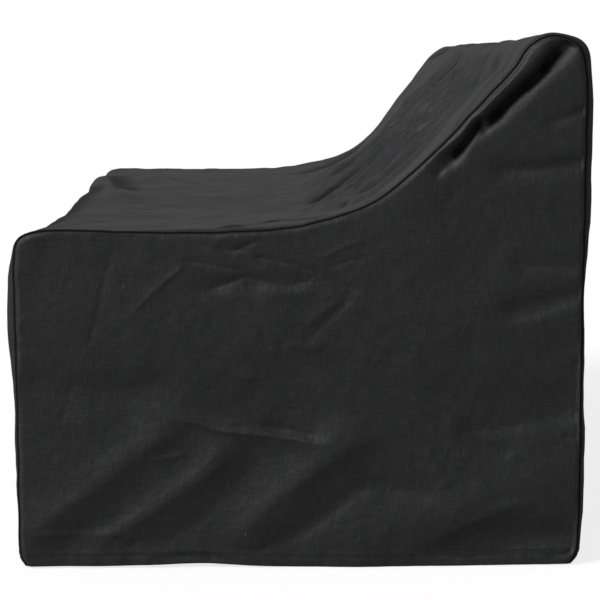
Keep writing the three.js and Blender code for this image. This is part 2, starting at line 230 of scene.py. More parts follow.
Crease = namedtuple("Crease", "name path width rise soft lean", defaults=[0])
LEFT_CREASES = [
    Crease("start of the upper deep fold",
           [(396, 760), (375, 748), (360, 735), (346, 719)], 10, -5, 0.6, -0.3),
    Crease("first deep part", [(370, 746), (360, 736), (351, 721), (344, 710)], 5, -12, 0.4, -0.5),
    Crease("second deep part",
           [(356, 729), (339, 707), (328, 697), (316, 687)], 5, -17, 0.35, -0.5),
    Crease("third deep part",
           [(330, 699), (311, 684), (296, 670), (283, 655), (264, 639)], 5, -18, 0.35, -0.5),
    Crease("end of the upper deep fold", [(292, 664), (269, 642), (252, 629)], 9, -5, 0.7, -0.3),
    Crease("lower deep fold",
           [(263, 650), (255, 640), (241, 619), (230, 605), (216, 590)], 4.5, -15, 0.35, -0.5),
    Crease("end of the lower deep fold",
           [(236, 612), (220, 594), (205, 580), (188, 562)], 9, -5, 0.7, -0.4),
    Crease("lip over the deep folds", [(366, 764), (300, 694), (245, 644), (199, 592)], 10, 3, 0.6),
    Crease("dent below the back corner", [(340, 640), (375, 650), (425, 662)], 9, -3, 0.5),
    Crease("nick in the back seam", [(384, 661), (430, 665)], 4, -3, 0.3),
    Crease("upper back pull", [(262, 580), (327, 577), (425, 594)], 9, -2, 0.5, 0.3),
    Crease("slanting back pull", [(350, 530), (425, 482)], 9, -2, 0.6),
    Crease("first back pull", [(290, 441), (365, 439), (425, 440)], 14, -2.6, 0.6, 0.4),
    Crease("second back pull",
           [(280, 356), (345, 375), (381, 388), (430, 394)], 15, -2.4, 0.7, 0.5),
    Crease("third back pull", [(215, 199), (290, 205), (348, 217), (430, 227)], 24, -6, 0.6, 0.4),
    Crease("back nick", [(390, 297), (430, 300)], 6, -2, 0.4),
    Crease("low back nick", [(398, 203), (430, 205)], 4, -2, 0.4),
    Crease("lowest back nick", [(376, 190), (430, 190)], 5, -2, 0.4),
    Crease("steep crease", [(-259, 482), (-272, 442), (-288, 378), (-306, 312)], 4, -1.1, 0.3, 0.3),
    Crease("short steep crease", [(-320, 283), (-332, 248), (-344, 210)], 4, -0.9, 0.3),
    Crease("slanting crease",
           [(-243, 366), (-213, 399), (-191, 418), (-157, 447)], 4, 1.6, 0.25, 0.3),
    Crease("flat crease", [(-172, 450), (-134, 444), (-106, 438), (-68, 431)], 3.5, -2, 0.25, 0.3),
    Crease("crossing crease", [(-128, 473), (-98, 462), (-81, 468), (-55, 478)], 3.5, -2.2, 0.3),
    Crease("second crossing crease", [(-115, 478), (-91, 465), (-66, 461)], 3.5, -1.6, 0.3),
    Crease("middle crease", [(-68, 456), (-35, 449), (0, 441)], 3.5, -2, 0.3),
    Crease("falling crease",
           [(-16, 447), (1, 440), (30, 430), (58, 414), (90, 401)], 3.5, -2.1, 0.25, 0.3),
    Crease("long wave",
           [(-147, 401), (-96, 418), (-74, 425), (-53, 418), (-20, 412),
            (34, 425)], 5, -1.6, 0.35, 0.3),
    Crease("swell under the wave", [(-64, 410), (-20, 401), (28, 409)], 9, 2, 0.7),
    Crease("pinch below the arm", [(28, 451), (65, 469), (98, 478)], 4, 1.2, 0.4),
    Crease("second pinch", [(36, 433), (65, 446), (102, 454)], 4, -1.1, 0.4),
    Crease("slope of the patch",
           [(88, 416), (65, 387), (44, 365), (27, 348), (2, 323)], 9, -1.7, 0.6, -0.3),
    Crease("patch", [(64, 395), (30, 372), (8, 350)], 8, 1.6, 0.6),
    Crease("patch edge", [(-58, 347), (-41, 320)], 5, -1.8, 0.4),
    Crease("low arc", [(-128, 305), (-95, 285), (-56, 276)], 7, 1.4, 0.5),
    Crease("raised spot", [(-28, 326), (1, 326), (38, 322)], 8, 2, 0.7),
    Crease("crease across the middle",
           [(-190, 226), (-143, 212), (-121, 204), (-71, 198), (-21, 191), (50, 179)],
           4.5, 3, 0.25, 0.2),
    Crease("hollow above the crease",
           [(-115, 214), (-60, 208), (-10, 201), (45, 188)], 7, -3.4, 0.6),
    Crease("upper arm of the crease", [(-112, 215), (-71, 211), (-38, 201)], 4, 1.8, 0.3),
    Crease("light line", [(-218, 162), (-187, 163), (-160, 171)], 5, 1.8, 0.4),
    Crease("first drape's crest",
           [(-415, 36), (-317, 105), (-259, 149), (-211, 184), (-145, 225)], 18, 3, 0.9, 0.3),
    Crease("first drape's hollow",
           [(-375, 38), (-289, 60), (-238, 90), (-187, 125), (-120, 182)], 18, -3, 0.9),
    Crease("second drape's crest",
           [(-275, 44), (-216, 84), (-158, 122), (-75, 185)], 17, 3, 0.9, 0.3),
    Crease("second drape's hollow",
           [(-240, 30), (-173, 48), (-118, 95), (-78, 144), (-45, 194)], 17, -3, 0.9),
    Crease("third drape's crest",
           [(-110, 20), (-54, 83), (1, 128), (66, 172), (140, 216)], 18, 3, 0.9, 0.3),
    Crease("third drape's hollow",
           [(-80, 18), (1, 50), (69, 98), (92, 116), (146, 113), (235, 101)], 17, -4, 0.8, 0.3),
    Crease("fourth drape's crest",
           [(150, 24), (205, 45), (253, 66), (317, 90), (370, 70), (408, 36)], 11, 3, 0.6),
    Crease("fourth drape's hollow",
           [(155, 28), (245, 17), (341, 30), (415, 24)], 11, -2.2, 0.8, 0.4),
    Crease("light streak", [(182, 180), (200, 142), (219, 110)], 8, 2, 0.6),
    Crease("back hollow", [(220, 203), (269, 176), (315, 167)], 10, -2.5, 0.7),
    Crease("small low hollow", [(-270, 49), (-250, 30), (-230, 43)], 8, -2.5, 0.6),
    Crease("second small low hollow", [(-98, 30), (-72, 22), (-38, 32)], 8, -2.5, 0.6),
    Crease("ridge above the hem", [(-400, 50), (-330, 49), (-255, 48)], 7, 1.8, 0.6),
    Crease("left hollow", [(-440, 262), (-330, 268), (-240, 262), (-150, 274)], 26, -4.5, 0.8),
    Crease("back shade", [(200, 330), (290, 318), (430, 322)], 22, -2.5, 0.9),
    Crease("hem overlap", [(-222, 10), (-159, 11), (-123, 10), (-75, 4)], 4, -2.4, 0.3),
    Crease("hem pucker", [(355, 10), (428, 27)], 5, -2.4, 0.4),
    Crease("low hem pucker", [(378, 7), (428, 14)], 4, 1.5, 0.4),
]
RIGHT_CREASES = [
    Crease("bottom of the deep fold", [(385, 745), (320, 688), (255, 622)], 7, -12, 0.4, -0.4),
    Crease("lip over the deep fold", [(365, 748), (300, 690), (235, 618)], 9, 3, 0.5),
    Crease("upper back pull", [(280, 560), (340, 566), (408, 585)], 8, -2.5, 0.5),
    Crease("second back pull", [(330, 480), (412, 470)], 9, -2, 0.6),
    Crease("third back pull", [(300, 330), (410, 318)], 9, -2, 0.6),
    Crease("steep crease", [(-240, 480), (-285, 330)], 8, 1.2, 0.5),
    Crease("slanting crease", [(-190, 420), (-110, 455)], 6, 1.4, 0.3),
    Crease("flat crease", [(-120, 430), (20, 405)], 6, 1.3, 0.3),
    Crease("middle crease", [(-150, 220), (60, 190)], 7, 1.5, 0.4),
    Crease("first drape's crest", [(-390, 50), (-290, 140), (-200, 215)], 11, 1.6, 0.6),
    Crease("second drape's crest", [(-190, 30), (-110, 110), (-40, 190)], 12, 1.6, 0.6),
    Crease("third drape's crest", [(90, 25), (200, 95), (310, 175)], 12, 1.6, 0.6),
]
# On the top, a path's points are [across, depth]
TOP_CREASES = [
    Crease("deep groove",
           [(-30, 318), (-70, 306), (-112, 289), (-150, 265), (-132, 235),
            (-120, 208)], 13.2, -11.9, 0.35),
    Crease("low groove",
           [(-125, 222), (-90, 184), (-58, 150), (-35, 117), (5, 95), (85, 66),
            (210, 15)], 13.2, -7.65, 0.35),
    Crease("first pleat", [(140, 307), (88, 284), (78, 252), (65, 220), (36, 198)], 9.6, 7.65, 0.3),
    Crease("groove beside the first pleat",
           [(198, 306), (160, 280), (120, 252), (85, 210)], 10.8, -6.8, 0.3),
    Crease("second pleat",
           [(84, 218), (105, 177), (115, 140), (140, 106), (172, 82), (270, 45)], 9.6, 6.8, 0.3),
    Crease("groove beside the second pleat",
           [(188, 215), (205, 172), (200, 136), (222, 104), (300, 70)], 10.8, -6.8, 0.3),
    Crease("third pleat",
           [(222, 287), (205, 260), (190, 241), (215, 220), (258, 198)], 9.6, 6.8, 0.3),
    Crease("low third pleat",
           [(245, 208), (262, 160), (270, 122), (280, 92), (400, 60), (560, 24)], 9.6, 7.65, 0.3),
    Crease("short groove", [(225, 306), (222, 291), (236, 278)], 8.4, -6.8, 0.4),
    Crease("broad hollow", [(250, 284), (270, 254), (315, 226), (330, 185)], 28, -5, 0.8),
    Crease("thin pleat",
           [(302, 250), (285, 234), (300, 212), (330, 178), (332, 148)], 8.4, 5.1, 0.3),
    Crease("high groove", [(325, 303), (350, 290), (382, 278)], 8.4, -5.95, 0.3),
    Crease("high pleat", [(296, 303), (318, 290), (350, 275)], 7.2, 4.25, 0.3),
    Crease("high hollow", [(405, 314), (470, 305), (570, 292)], 20, -4, 0.8),
    Crease("tuck by the seam",
           [(672, 313), (620, 290), (632, 262), (680, 231), (734, 212)], 7.2, -6.8, 0.3),
    Crease("lip of the tuck", [(706, 305), (655, 286), (668, 258), (706, 236)], 8.4, 4.25, 0.4),
    Crease("low thin pleat", [(286, 148), (370, 117), (490, 91), (610, 78)], 8.4, 5.1, 0.3),
    Crease("low thin groove", [(276, 132), (360, 101), (480, 76), (590, 66)], 9.6, -5.1, 0.4),
    Crease("first low groove", [(15, 104), (60, 78), (130, 50), (215, 12)], 8.4, -5.95, 0.3),
    Crease("second low groove", [(290, 72), (400, 24), (480, -6)], 8.4, -5.1, 0.3),
    Crease("first low pleat", [(110, 94), (180, 56), (270, 12)], 8.4, 4.42, 0.3),
    Crease("second low pleat", [(205, 80), (290, 38), (370, 2)], 8.4, 4.42, 0.3),
    Crease("edge of the saddle",
           [(-732, 242), (-640, 188), (-375, 123), (-240, 83), (-30, 10)], 30, 4, 0.9),
    Crease("hollow behind the saddle",
           [(-728, 175), (-600, 115), (-480, 62), (-380, 0)], 42, -6, 0.9),
    Crease("pucker in the far crown", [(-710, 314), (-600, 334), (-455, 343)], 18, -6, 0.6),
    Crease("high far swell", [(-305, 316), (-330, 293), (-430, 270), (-480, 232)], 20, 3, 0.8),
    Crease("far pleat",
           [(-236, 272), (-270, 241), (-245, 219), (-235, 198), (-215, 160)], 10.8, 5.95, 0.35),
    Crease("far groove", [(-198, 265), (-225, 240), (-205, 205), (-188, 162)], 9.6, -5.1, 0.35),
    Crease("crest from the far corner",
           [(-580, -384), (-450, -374), (-255, -356), (-50, -323), (60, -285), (140, -225)],
           20, 4.5, 0.8),
    Crease("hollow behind the crest",
           [(-610, -366), (-420, -352), (-215, -324), (-60, -288)], 24, -9, 0.8),
    Crease("front edge",
           [(780, -396), (300, -393), (0, -393), (-250, -396), (-650, -403)], 30, -8.5, 0.9),
    Crease("crown", [(-330, 352), (-50, 355), (260, 352)], 22, -3, 0.9),
    Crease("seat crease", [(-490, -258), (-360, -221), (-285, -188), (-200, -146)], 8, -2.6, 0.4),
    Crease("near corner fold", [(700, -380), (560, -330), (430, -290)], 16, -2.5, 0.8),
    Crease("fold beside the seam",
           [(722, -140), (680, -88), (610, -50), (590, -15), (640, 15),
            (725, 40)], 9.6, -8.5, 0.35),
    Crease("edge of the fold beside the seam",
           [(700, -122), (655, -75), (585, -38), (572, -8)], 9.6, 5.1, 0.35),
    Crease("pucker at the seam", [(732, 120), (650, 112), (560, 109)], 7.2, -6.8, 0.35),
    Crease("second pucker at the seam", [(732, 96), (670, 104), (610, 116)], 6, 4.25, 0.35),
]
FRONT_CREASES = [
    Crease("right corner crease", [(-715, 425), (-620, 350), (-520, 300)], 12, 2.5, 0.6),
    Crease("left corner crease", [(710, 420), (610, 340), (520, 290)], 12, 2.5, 0.6),
    Crease("low right crease", [(-640, 120), (-560, 60), (-500, 30)], 13, 2, 0.7),
    Crease("low left crease", [(640, 150), (570, 90), (540, 40)], 13, 2, 0.7),
    Crease("flat crease", [(-60, 300), (60, 285), (180, 300)], 9, 1.3, 0.4),
    Crease("slanting crease", [(60, 180), (160, 230), (230, 250)], 9, 1.3, 0.4),
]
BACK_CREASES = [
    Crease("left corner crease", [(712, 700), (620, 600), (520, 520)], 14, 2.5, 0.6),
    Crease("right corner crease", [(-712, 700), (-610, 590), (-540, 520)], 14, 2.5, 0.6),
    Crease("low left crease", [(600, 220), (520, 120), (480, 40)], 15, 2, 0.7),
    Crease("low right crease", [(-620, 200), (-560, 120), (-520, 50)], 15, 2, 0.7),
    Crease("flat crease", [(-120, 420), (20, 400), (170, 425)], 10, 1.3, 0.4),
    Crease("slanting crease", [(110, 560), (230, 600), (300, 610)], 10, 1.3, 0.4),
]
# A crease's path is walked in steps, fades out over a share of its length at each end, and is felt
# out to so many of its widths
CREASE_STEP = 4.0
CREASE_FADE = 0.22
CREASE_REACH = 4.5

# Small unevenness of the cloth: how far apart its rises are, and how high
Uneven = namedtuple("Uneven", "spacing height")
UNEVEN_CLOTH = [Uneven(150, 2.0), Uneven(62, 1.2), Uneven(27, 0.5), Uneven(12, 0.16)]
UNEVEN_TURN = 0.6

# Shade is painted into the creases from this depth to that one, up to a share of the shade painted
# into a seam
Shade = namedtuple("Shade", "shallow deep share")
SIDE_SHADE = Shade(shallow=14, deep=23, share=0.8)
TOP_SHADE = Shade(shallow=0.5, deep=7, share=0.8)

# Seams: the gap between the panels, how far the side panel's allowance laps over the centre
# panel's, the reach of the shade painted dark into the seam, the wander of the stitching, and the
# puckers that it draws up
SEAM_SAMPLES = 3001
SEAM_GAP = 0.4
SEAM_LAP = 3.0
ROLL_ANGLES = np.radians([23, 45, 68, 90, 113, 135])
PAINTED_SEAM_SHADE_REACH = 0.5
SEAM_WANDER = 0.6
WANDER_SPACING = 24.0
WANDER_FADE = 60.0
PUCKER_SPACING = 17.0
PUCKER_HEIGHT = 0.9
PUCKER_REACH = 13.0
PUCKER_START = 5.0
LEAST_PUCKER = 0.35
PUCKER_STRETCH = 140.0

# Folds die away at the rim of a panel, and at the top of the front and of the back
RIM_FADE = 6.0
SHOULDER_FADE = 25.0

# Hem: heights of its rows of points, its stitching, the edge of its second layer, and its puckers
HEM_ROWS = [1.4, 4, 8, 11.5, 13.5, 15, 16.5, 18.5, 21.5, 24, 26.5, 30]
STITCH_ROW = 15
STITCH_GROOVE = 0.6
GROOVE_REACH = 1.6
HEM_STEP = 0.8
HEM_EDGE = (20, 27)
HEM_PUCKER_HEIGHT = 0.55
HEM_PUCKER_REACH = 16.0
HEM_PUCKER_SPACINGS = (13.0, 31.0)
HEM_WAVE_REACH = 90.0
HEM_WAVE_SPACING = 170.0
FRONT_ROWS = 28
BACK_ROWS = 44

# Seeds of the random draws. A panel's further draws count on from its seed.
WANDER_SEED = {"left": 11, "right": 12}
PANEL_SEED = {"left": 21, "right": 31, "centre": 51}
CENTRE_PUCKER_SEED = {"left": 61, "right": 66}
HEM_WAVE_SEED = {"front": 71, "back": 72}
PLEAT_SEEDS = (81, 82)

# Half-lengths along a stitch, how thick it is there, and how far it sinks into the cloth
StitchPart = namedtuple("StitchPart", "share size sink")
STITCH_SHAPE = [
    StitchPart(share=-1, size=0.3, sink=0.6),
    StitchPart(share=-0.72, size=0.9, sink=0.1),
    StitchPart(share=0, size=1.0, sink=-0.25),
    StitchPart(share=0.72, size=0.9, sink=0.1),
    StitchPart(share=1, size=0.3, sink=0.6),
]


# Size and colour settings

class CoverSizes(PropertyGroup):
    """Sizes of the cover and of its sewing"""

    seam_width: FloatProperty(
        name="Seam Width", description="Across the front, from side seam to side seam",
        default=1.470, min=1.2, max=1.8, unit="LENGTH")
    shoulder_height: FloatProperty(
        name="Shoulder Height", description="Front edge, up to where it rounds over the arm",
        default=0.440, min=0.3, max=0.6, unit="LENGTH")
    back_shoulder_height: FloatProperty(
        name="Back Shoulder Height", description="Back edge, up to where it rounds over the top",
        default=0.705, min=0.5, max=0.9, unit="LENGTH")
    side_swell: FloatProperty(
        name="Side Swell", description="How far a side panel swells out past its seam",
        default=0.0025, min=0.0, max=0.01, unit="LENGTH")
    swell_reach: FloatProperty(
        name="Swell Reach", description="Over this distance from the seam the cloth swells out",
        default=0.008, min=0.004, max=0.04, unit="LENGTH")
    seam_allowance: FloatProperty(
        name="Seam Allowance", description="Cloth folded inside along each seam",
        default=0.010, min=0.004, max=0.02, unit="LENGTH")
    seam_roll: FloatProperty(
        name="Seam Roll", description="Radius over which each panel turns in at the seam",
        default=0.0010, min=0.0003, max=0.003, unit="LENGTH")
    hem_depth: FloatProperty(
        name="Hem Depth", description="Height of the turned-up hem",
        default=0.022, min=0.01, max=0.05, unit="LENGTH")
    hem_turn: FloatProperty(
        name="Hem Turn", description="Radius of the fold at the bottom of the hem",
        default=0.0013, min=0.0005, max=0.004, unit="LENGTH")
    stitch_pitch: FloatProperty(
        name="Stitch Pitch", description="From one hem stitch to the next",
        default=0.0042, min=0.002, max=0.01, unit="LENGTH")
    stitch_length: FloatProperty(
        name="Stitch Length", description="Length of one hem stitch",
        default=0.0031, min=0.001, max=0.008, unit="LENGTH")
    thread_radius: FloatProperty(
        name="Thread Radius", description="Radius of the sewing thread",
        default=0.00035, min=0.0001, max=0.001, unit="LENGTH")
    side_rows: IntProperty(
        name="Side Rows", description="Rows of cloth points up a side panel",
        default=245, min=40, max=260)
    side_columns: IntProperty(
        name="Side Columns", description="Columns of cloth points across a side panel",
        default=325, min=40, max=340)
    centre_columns: IntProperty(
        name="Centre Columns", description="Columns of cloth points across the centre panel",
        default=284, min=60, max=320)
    centre_rows: IntProperty(
        name="Centre Rows", description="Rows of cloth points over the centre panel's top",
        default=212, min=60, max=260)


class CoverCloth(PropertyGroup):
    """Colours and finish of the coated cloth"""

    cloth_colour: FloatVectorProperty(
        name="Cloth", description="Colour of the coated cloth",
        default=(0.0128, 0.0131, 0.0142), min=0.0, max=1.0, subtype="COLOR")
    rubbed_colour: FloatVectorProperty(
        name="Rubbed Cloth", description="Colour where the coating is rubbed a little paler",
        default=(0.0240, 0.0245, 0.0260), min=0.0, max=1.0, subtype="COLOR")
    lint_colour: FloatVectorProperty(
        name="Lint", description="Colour of the few specks of lint",
        default=(0.12, 0.12, 0.12), min=0.0, max=1.0, subtype="COLOR")
    thread_colour: FloatVectorProperty(
        name="Thread", description="Colour of the sewing thread",
        default=(0.016, 0.0165, 0.0175), min=0.0, max=1.0, subtype="COLOR")
    roughness: FloatProperty(
        name="Roughness", description="Roughness of the coating",
        default=0.53, min=0.2, max=1.0, subtype="FACTOR")
    thread_pitch: FloatProperty(
        name="Weave Pitch", description="From one thread of the weave to the next",
        default=0.0011, min=0.0004, max=0.004, unit="LENGTH")
    weave_height: FloatProperty(
        name="Weave Height", description="How far the weave's threads stand out",
        default=0.00022, min=0.0, max=0.001, unit="LENGTH")
    crinkle_height: FloatProperty(
        name="Crinkle Height", description="How far the fine crinkles stand out",
        default=0.0022, min=0.0, max=0.01, unit="LENGTH")


class CoverStudio(PropertyGroup):
    """The camera, the floor and the light"""

    camera_place: FloatVectorProperty(
        name="Camera Place", description="Where the camera stands",
        default=(3.1864, -0.0498, 0.7230), subtype="TRANSLATION", unit="LENGTH")
    camera_pitch: FloatProperty(
        name="Camera Pitch", description="How far the camera looks down",
        default=math.radians(7.6974), subtype="ANGLE", unit="ROTATION")
    camera_heading: FloatProperty(
        name="Camera Heading", description="The way the camera looks, from +X towards +Y",
        default=math.radians(178.8066), subtype="ANGLE", unit="ROTATION")
    focal_length: FloatProperty(
        name="Focal Length", description="Focal length for a 36 mm wide sensor, in millimetres",
        default=103.98, min=20.0, max=300.0)
    floor_colour: FloatVectorProperty(
        name="Floor", description="Colour of the pale floor as it lights the cloth",
        default=(0.40, 0.40, 0.40), min=0.0, max=1.0, subtype="COLOR")
    floor_glow: FloatProperty(
        name="Floor Glow",
        description="How much of the floor's paleness the camera sees without shadow",
        default=0.79, min=0.0, max=1.0, subtype="FACTOR")
    floor_drop: FloatProperty(
        name="Floor Drop", description="How far below the hem's own zero the floor lies",
        default=0.0009, min=0.0, max=0.05, unit="LENGTH")
    key_strength: FloatProperty(
        name="Key Strength", description="Strength of the soft light from above",
        default=3.0, min=0.0, max=20.0)
    key_direction: FloatVectorProperty(
        name="Key Direction", description="The way from the cover to the light from above",
        default=(0.37, -0.72, 0.59), subtype="DIRECTION")
    key_spread: FloatProperty(
        name="Key Spread", description="Angle over which the light from above is spread",
        default=math.radians(28), subtype="ANGLE", unit="ROTATION")
    sky_strength: FloatProperty(
        name="Sky Strength", description="Strength of the even light from all round",
        default=0.30, min=0.0, max=5.0)


def cover_sizes():
    return bpy.context.scene.sofa_cover_sizes


def cover_cloth():
    return bpy.context.scene.sofa_cover_cloth


def cover_studio():
    return bpy.context.scene.sofa_cover_studio


def in_mm(length):
    return length / MILLIMETRE


def add_object(name, data):
    made = bpy.data.objects.new(name, data)
    bpy.context.scene.collection.objects.link(made)
    return made


# Smooth steps, curves and noise

def smoothstep(start, end, at):
    t = np.clip((np.asarray(at, float) - start) / (end - start), 0, 1)
    return t * t * (3 - 2 * t)


def bell(distance, reach):
    """1 at no distance, fading to nearly 0 at twice the reach."""
    return np.exp(-((distance / reach) ** 2))


def fade_ends(at, whole, fade):
    """1 along the middle of a line, fading to 0 at both ends of its whole length."""
    return smoothstep(0, fade, at) * smoothstep(0, fade, whole - at)


def curve_through(knots, values, at):
    """A smooth curve through the values at the knots, read at the places in at."""
    knots, values = np.asarray(knots, float), np.asarray(values, float)
    slope = np.empty_like(values)
    slope[1:-1] = (values[2:] - values[:-2]) / (knots[2:] - knots[:-2])
    slope[0] = (values[1] - values[0]) / (knots[1] - knots[0])
    slope[-1] = (values[-1] - values[-2]) / (knots[-1] - knots[-2])
    at = np.clip(at, knots[0], knots[-1])
    k = np.clip(np.searchsorted(knots, at, side="right") - 1, 0, len(knots) - 2)
    span = knots[k + 1] - knots[k]
    t = (at - knots[k]) / span
    return (
        (2 * t**3 - 3 * t**2 + 1) * values[k]
        + (t**3 - 2 * t**2 + t) * span * slope[k]
        + (3 * t**2 - 2 * t**3) * values[k + 1]
        + (t**3 - t**2) * span * slope[k + 1]
    )


def table_value(rows, key, column, at):
    return curve_through([getattr(r, key) for r in rows], [getattr(r, column) for r in rows], at)


def lengths_along(line):
    """How far along a line each of its points lies."""
    return np.concatenate([[0], np.cumsum(np.linalg.norm(np.diff(line, axis=0), axis=1))])


def read_line(at, places, points):
    """Points on the line that passes the given points at the given places."""
    return np.stack([np.interp(at, places, column) for column in points.T], -1)


def spline_points(points, at):
    """Points on a centripetal spline through the given ones; at runs from 0 to 1."""
    points = np.asarray(points, float)
    spans = len(points) - 1
    place = spans * np.clip(at, 0, 1)
    k = np.minimum(place.astype(int), spans - 1)
    w = (place - k)[:, None]
    ends = np.vstack([2 * points[0] - points[1], points, 2 * points[-1] - points[-2]])
    p0, p1, p2, p3 = ends[k], ends[k + 1], ends[k + 2], ends[k + 3]

    def root_gap(a, b):
        return np.power(((a - b) ** 2).sum(-1), 0.25)[:, None]

    d0, d1, d2 = root_gap(p0, p1), root_gap(p1, p2), root_gap(p2, p3)
    t1 = ((p1 - p0) / d0 - (p2 - p0) / (d0 + d1) + (p2 - p1) / d1) * d1
    t2 = ((p2 - p1) / d1 - (p3 - p1) / (d1 + d2) + (p3 - p2) / d2) * d1
    square = (-3 * p1 + 3 * p2 - 2 * t1 - t2) * w**2
    return p1 + t1 * w + square + (2 * p1 - 2 * p2 + t1 + t2) * w**3


def noise_line(at, spacing, seed):
    """Smooth random values from -1 to 1 along a line."""
    count = 4096
    values = np.random.default_rng(seed).uniform(-1, 1, count)
    place = np.asarray(at, float) / spacing
    k = np.floor(place).astype(int)
    t = smoothstep(0, 1, place - k)
    return values[k % count] * (1 - t) + values[(k + 1) % count] * t


def noise_field(u, v, spacing, seed):
    """Smooth random values from about -1 to 1 over a surface."""
    count = 256
    values = np.random.default_rng(seed).uniform(-1, 1, (count, count))
    a, b = u / spacing, v / spacing
    i, j = np.floor(a).astype(int), np.floor(b).astype(int)
    s, t = a - i, b - j
    s = s**3 * (s * (6 * s - 15) + 10)
    t = t**3 * (t * (6 * t - 15) + 10)

    def at(di, dj):
        return values[(i + di) % count, (j + dj) % count]

    low = at(0, 0) * (1 - s) + at(1, 0) * s
    high = at(0, 1) * (1 - s) + at(1, 1) * s
    return low * (1 - t) + high * t


def spaced(start, end, count, crowding):
    """count steps from start to end, closer together where crowding(place) is greater."""
    place = np.linspace(start, end, 4001)
    crowd = crowding(place)
    total = np.concatenate([[0], np.cumsum(crowd[1:] + crowd[:-1])])
    return np.interp(np.linspace(0, total[-1], count + 1), total, place)


def unevenness(u, v, seed):
    """The cloth's small rises, in layers that are turned off its grain."""
    c, s = math.cos(UNEVEN_TURN), math.sin(UNEVEN_TURN)
    u, v = u * c - v * s, u * s + v * c
    return sum(
        row.height * noise_field(u + 977 * k, v - 431 * k, row.spacing, seed + k)
        for k, row in enumerate(UNEVEN_CLOTH)
    )


# Seams: 0 to 1 up the front edge, 1 to 2 over the top, 2 to 3 down the back edge

def plain_seam(side, at):
    """[depth, height] of a side seam."""
    sizes = cover_sizes()
    front_z = np.clip(at, 0, 1) * in_mm(sizes.shoulder_height)
    back_z = np.clip(3 - at, 0, 1) * in_mm(sizes.back_shoulder_height)
    front = np.stack([table_value(FRONT_EDGE, "z", "y", front_z), front_z], -1)
    back = np.stack([table_value(BACK_EDGE, "z", "y", back_z), back_z], -1)
    top = spline_points([getattr(row, side) for row in TOP_EDGE], at - 1)
    return np.where((at < 1)[:, None], front, np.where((at > 2)[:, None], back, top))


def normals_of(line):
    along = np.gradient(line, axis=0)
    normal = np.stack([-along[:, 1], along[:, 0]], -1)
    return normal / np.linalg.norm(normal, axis=1, keepdims=True)


class Seam:
    """One side seam, sampled about every millimetre, with the small wander of its stitching."""

    def __init__(self, side):
        self.stations = np.linspace(0, 3, SEAM_SAMPLES)
        plain = plain_seam(side, self.stations)
        self.length = lengths_along(plain)
        wander = SEAM_WANDER * noise_line(self.length, WANDER_SPACING, WANDER_SEED[side])
        wander *= fade_ends(self.length, self.length[-1], WANDER_FADE)
        self.normals = normals_of(plain)
        self.points = plain + self.normals * wander[:, None]
        self.tree = KDTree(len(self.points))
        for k, (y, z) in enumerate(self.points):
            self.tree.insert((y, z, 0), k)
        self.tree.balance()

    def point(self, at):
        return read_line(at, self.stations, self.points)

    def normal(self, at):
        return read_line(at, self.stations, self.normals)

    def inset(self, at, by):
        return self.point(at) - by * self.normal(at)

    def length_at(self, at):
        return np.interp(at, self.stations, self.length)

    def station_at(self, length):
        return np.interp(length, self.length, self.stations)

    def nearest(self, y, z):
        """(distance to the seam, length along it) for each point."""
        found = [self.tree.find((a, b, 0)) for a, b in zip(y.ravel(), z.ravel())]
        distance = np.array([f[2] for f in found]).reshape(y.shape)
        length = self.length[np.array([f[1] for f in found])].reshape(y.shape)
        return distance, length


def roll_share(distance):
    """How much of its swell the cloth has at a distance from the seam."""
    t = np.clip(distance / in_mm(cover_sizes().swell_reach), 0, 1)
    return 1 - (1 - t) ** 2


def seam_pucker(distance, length, seed):
    """Puckers that the stitching draws up, more in some stretches of the seam than in others."""
    ripple = noise_line(length, PUCKER_SPACING, seed)
    ripple = ripple + 0.5 * noise_line(length, PUCKER_SPACING / 2, seed + 1)
    drawn_in = smoothstep(-0.2, 0.7, noise_line(length, PUCKER_STRETCH, seed + 2))
    height = PUCKER_HEIGHT * ripple * (LEAST_PUCKER + (1 - LEAST_PUCKER) * drawn_in)
    return height * smoothstep(0, PUCKER_START, distance) * np.exp(-distance / PUCKER_REACH)


# Folds and creases

def fold_rise(folds, u, v):
    """How far the folds lift the cloth at each place, all added up."""
    rise = np.zeros(np.broadcast(u, v).shape)
    for fold in folds:
        line_u, line_v = fold.b[0] - fold.a[0], fold.b[1] - fold.a[1]
        length = math.hypot(line_u, line_v)
        at_u, at_v = u - fold.a[0], v - fold.a[1]
        along = (at_u * line_u + at_v * line_v) / length**2
        aside = (at_v * line_u - at_u * line_v) / length
        bowed = aside - 4 * fold.bow * along * (1 - along)
        rise += fold.rise * bell(bowed, fold.width) * fade_ends(along, 1, FOLD_FADE)
    return rise


def nearest_on_line(line, points):
    """(gap, share of the line's length, left or right of it) of the nearest place on a line."""
    lengths = lengths_along(line)
    best = np.full(len(points), np.inf)
    share, way = np.zeros(len(points)), np.zeros(len(points))
    for k in range(len(line) - 1):
        side = line[k + 1] - line[k]
        from_start = points - line[k]
        t = np.clip((from_start @ side) / (side @ side), 0, 1)
        gap = np.linalg.norm(from_start - t[:, None] * side, axis=1)
        closer = gap < best
        best[closer] = gap[closer]
        share[closer] = (lengths[k] + t[closer] * (lengths[k + 1] - lengths[k])) / lengths[-1]
        way[closer] = np.sign(side[0] * from_start[closer, 1] - side[1] * from_start[closer, 0])
    return best, share, way


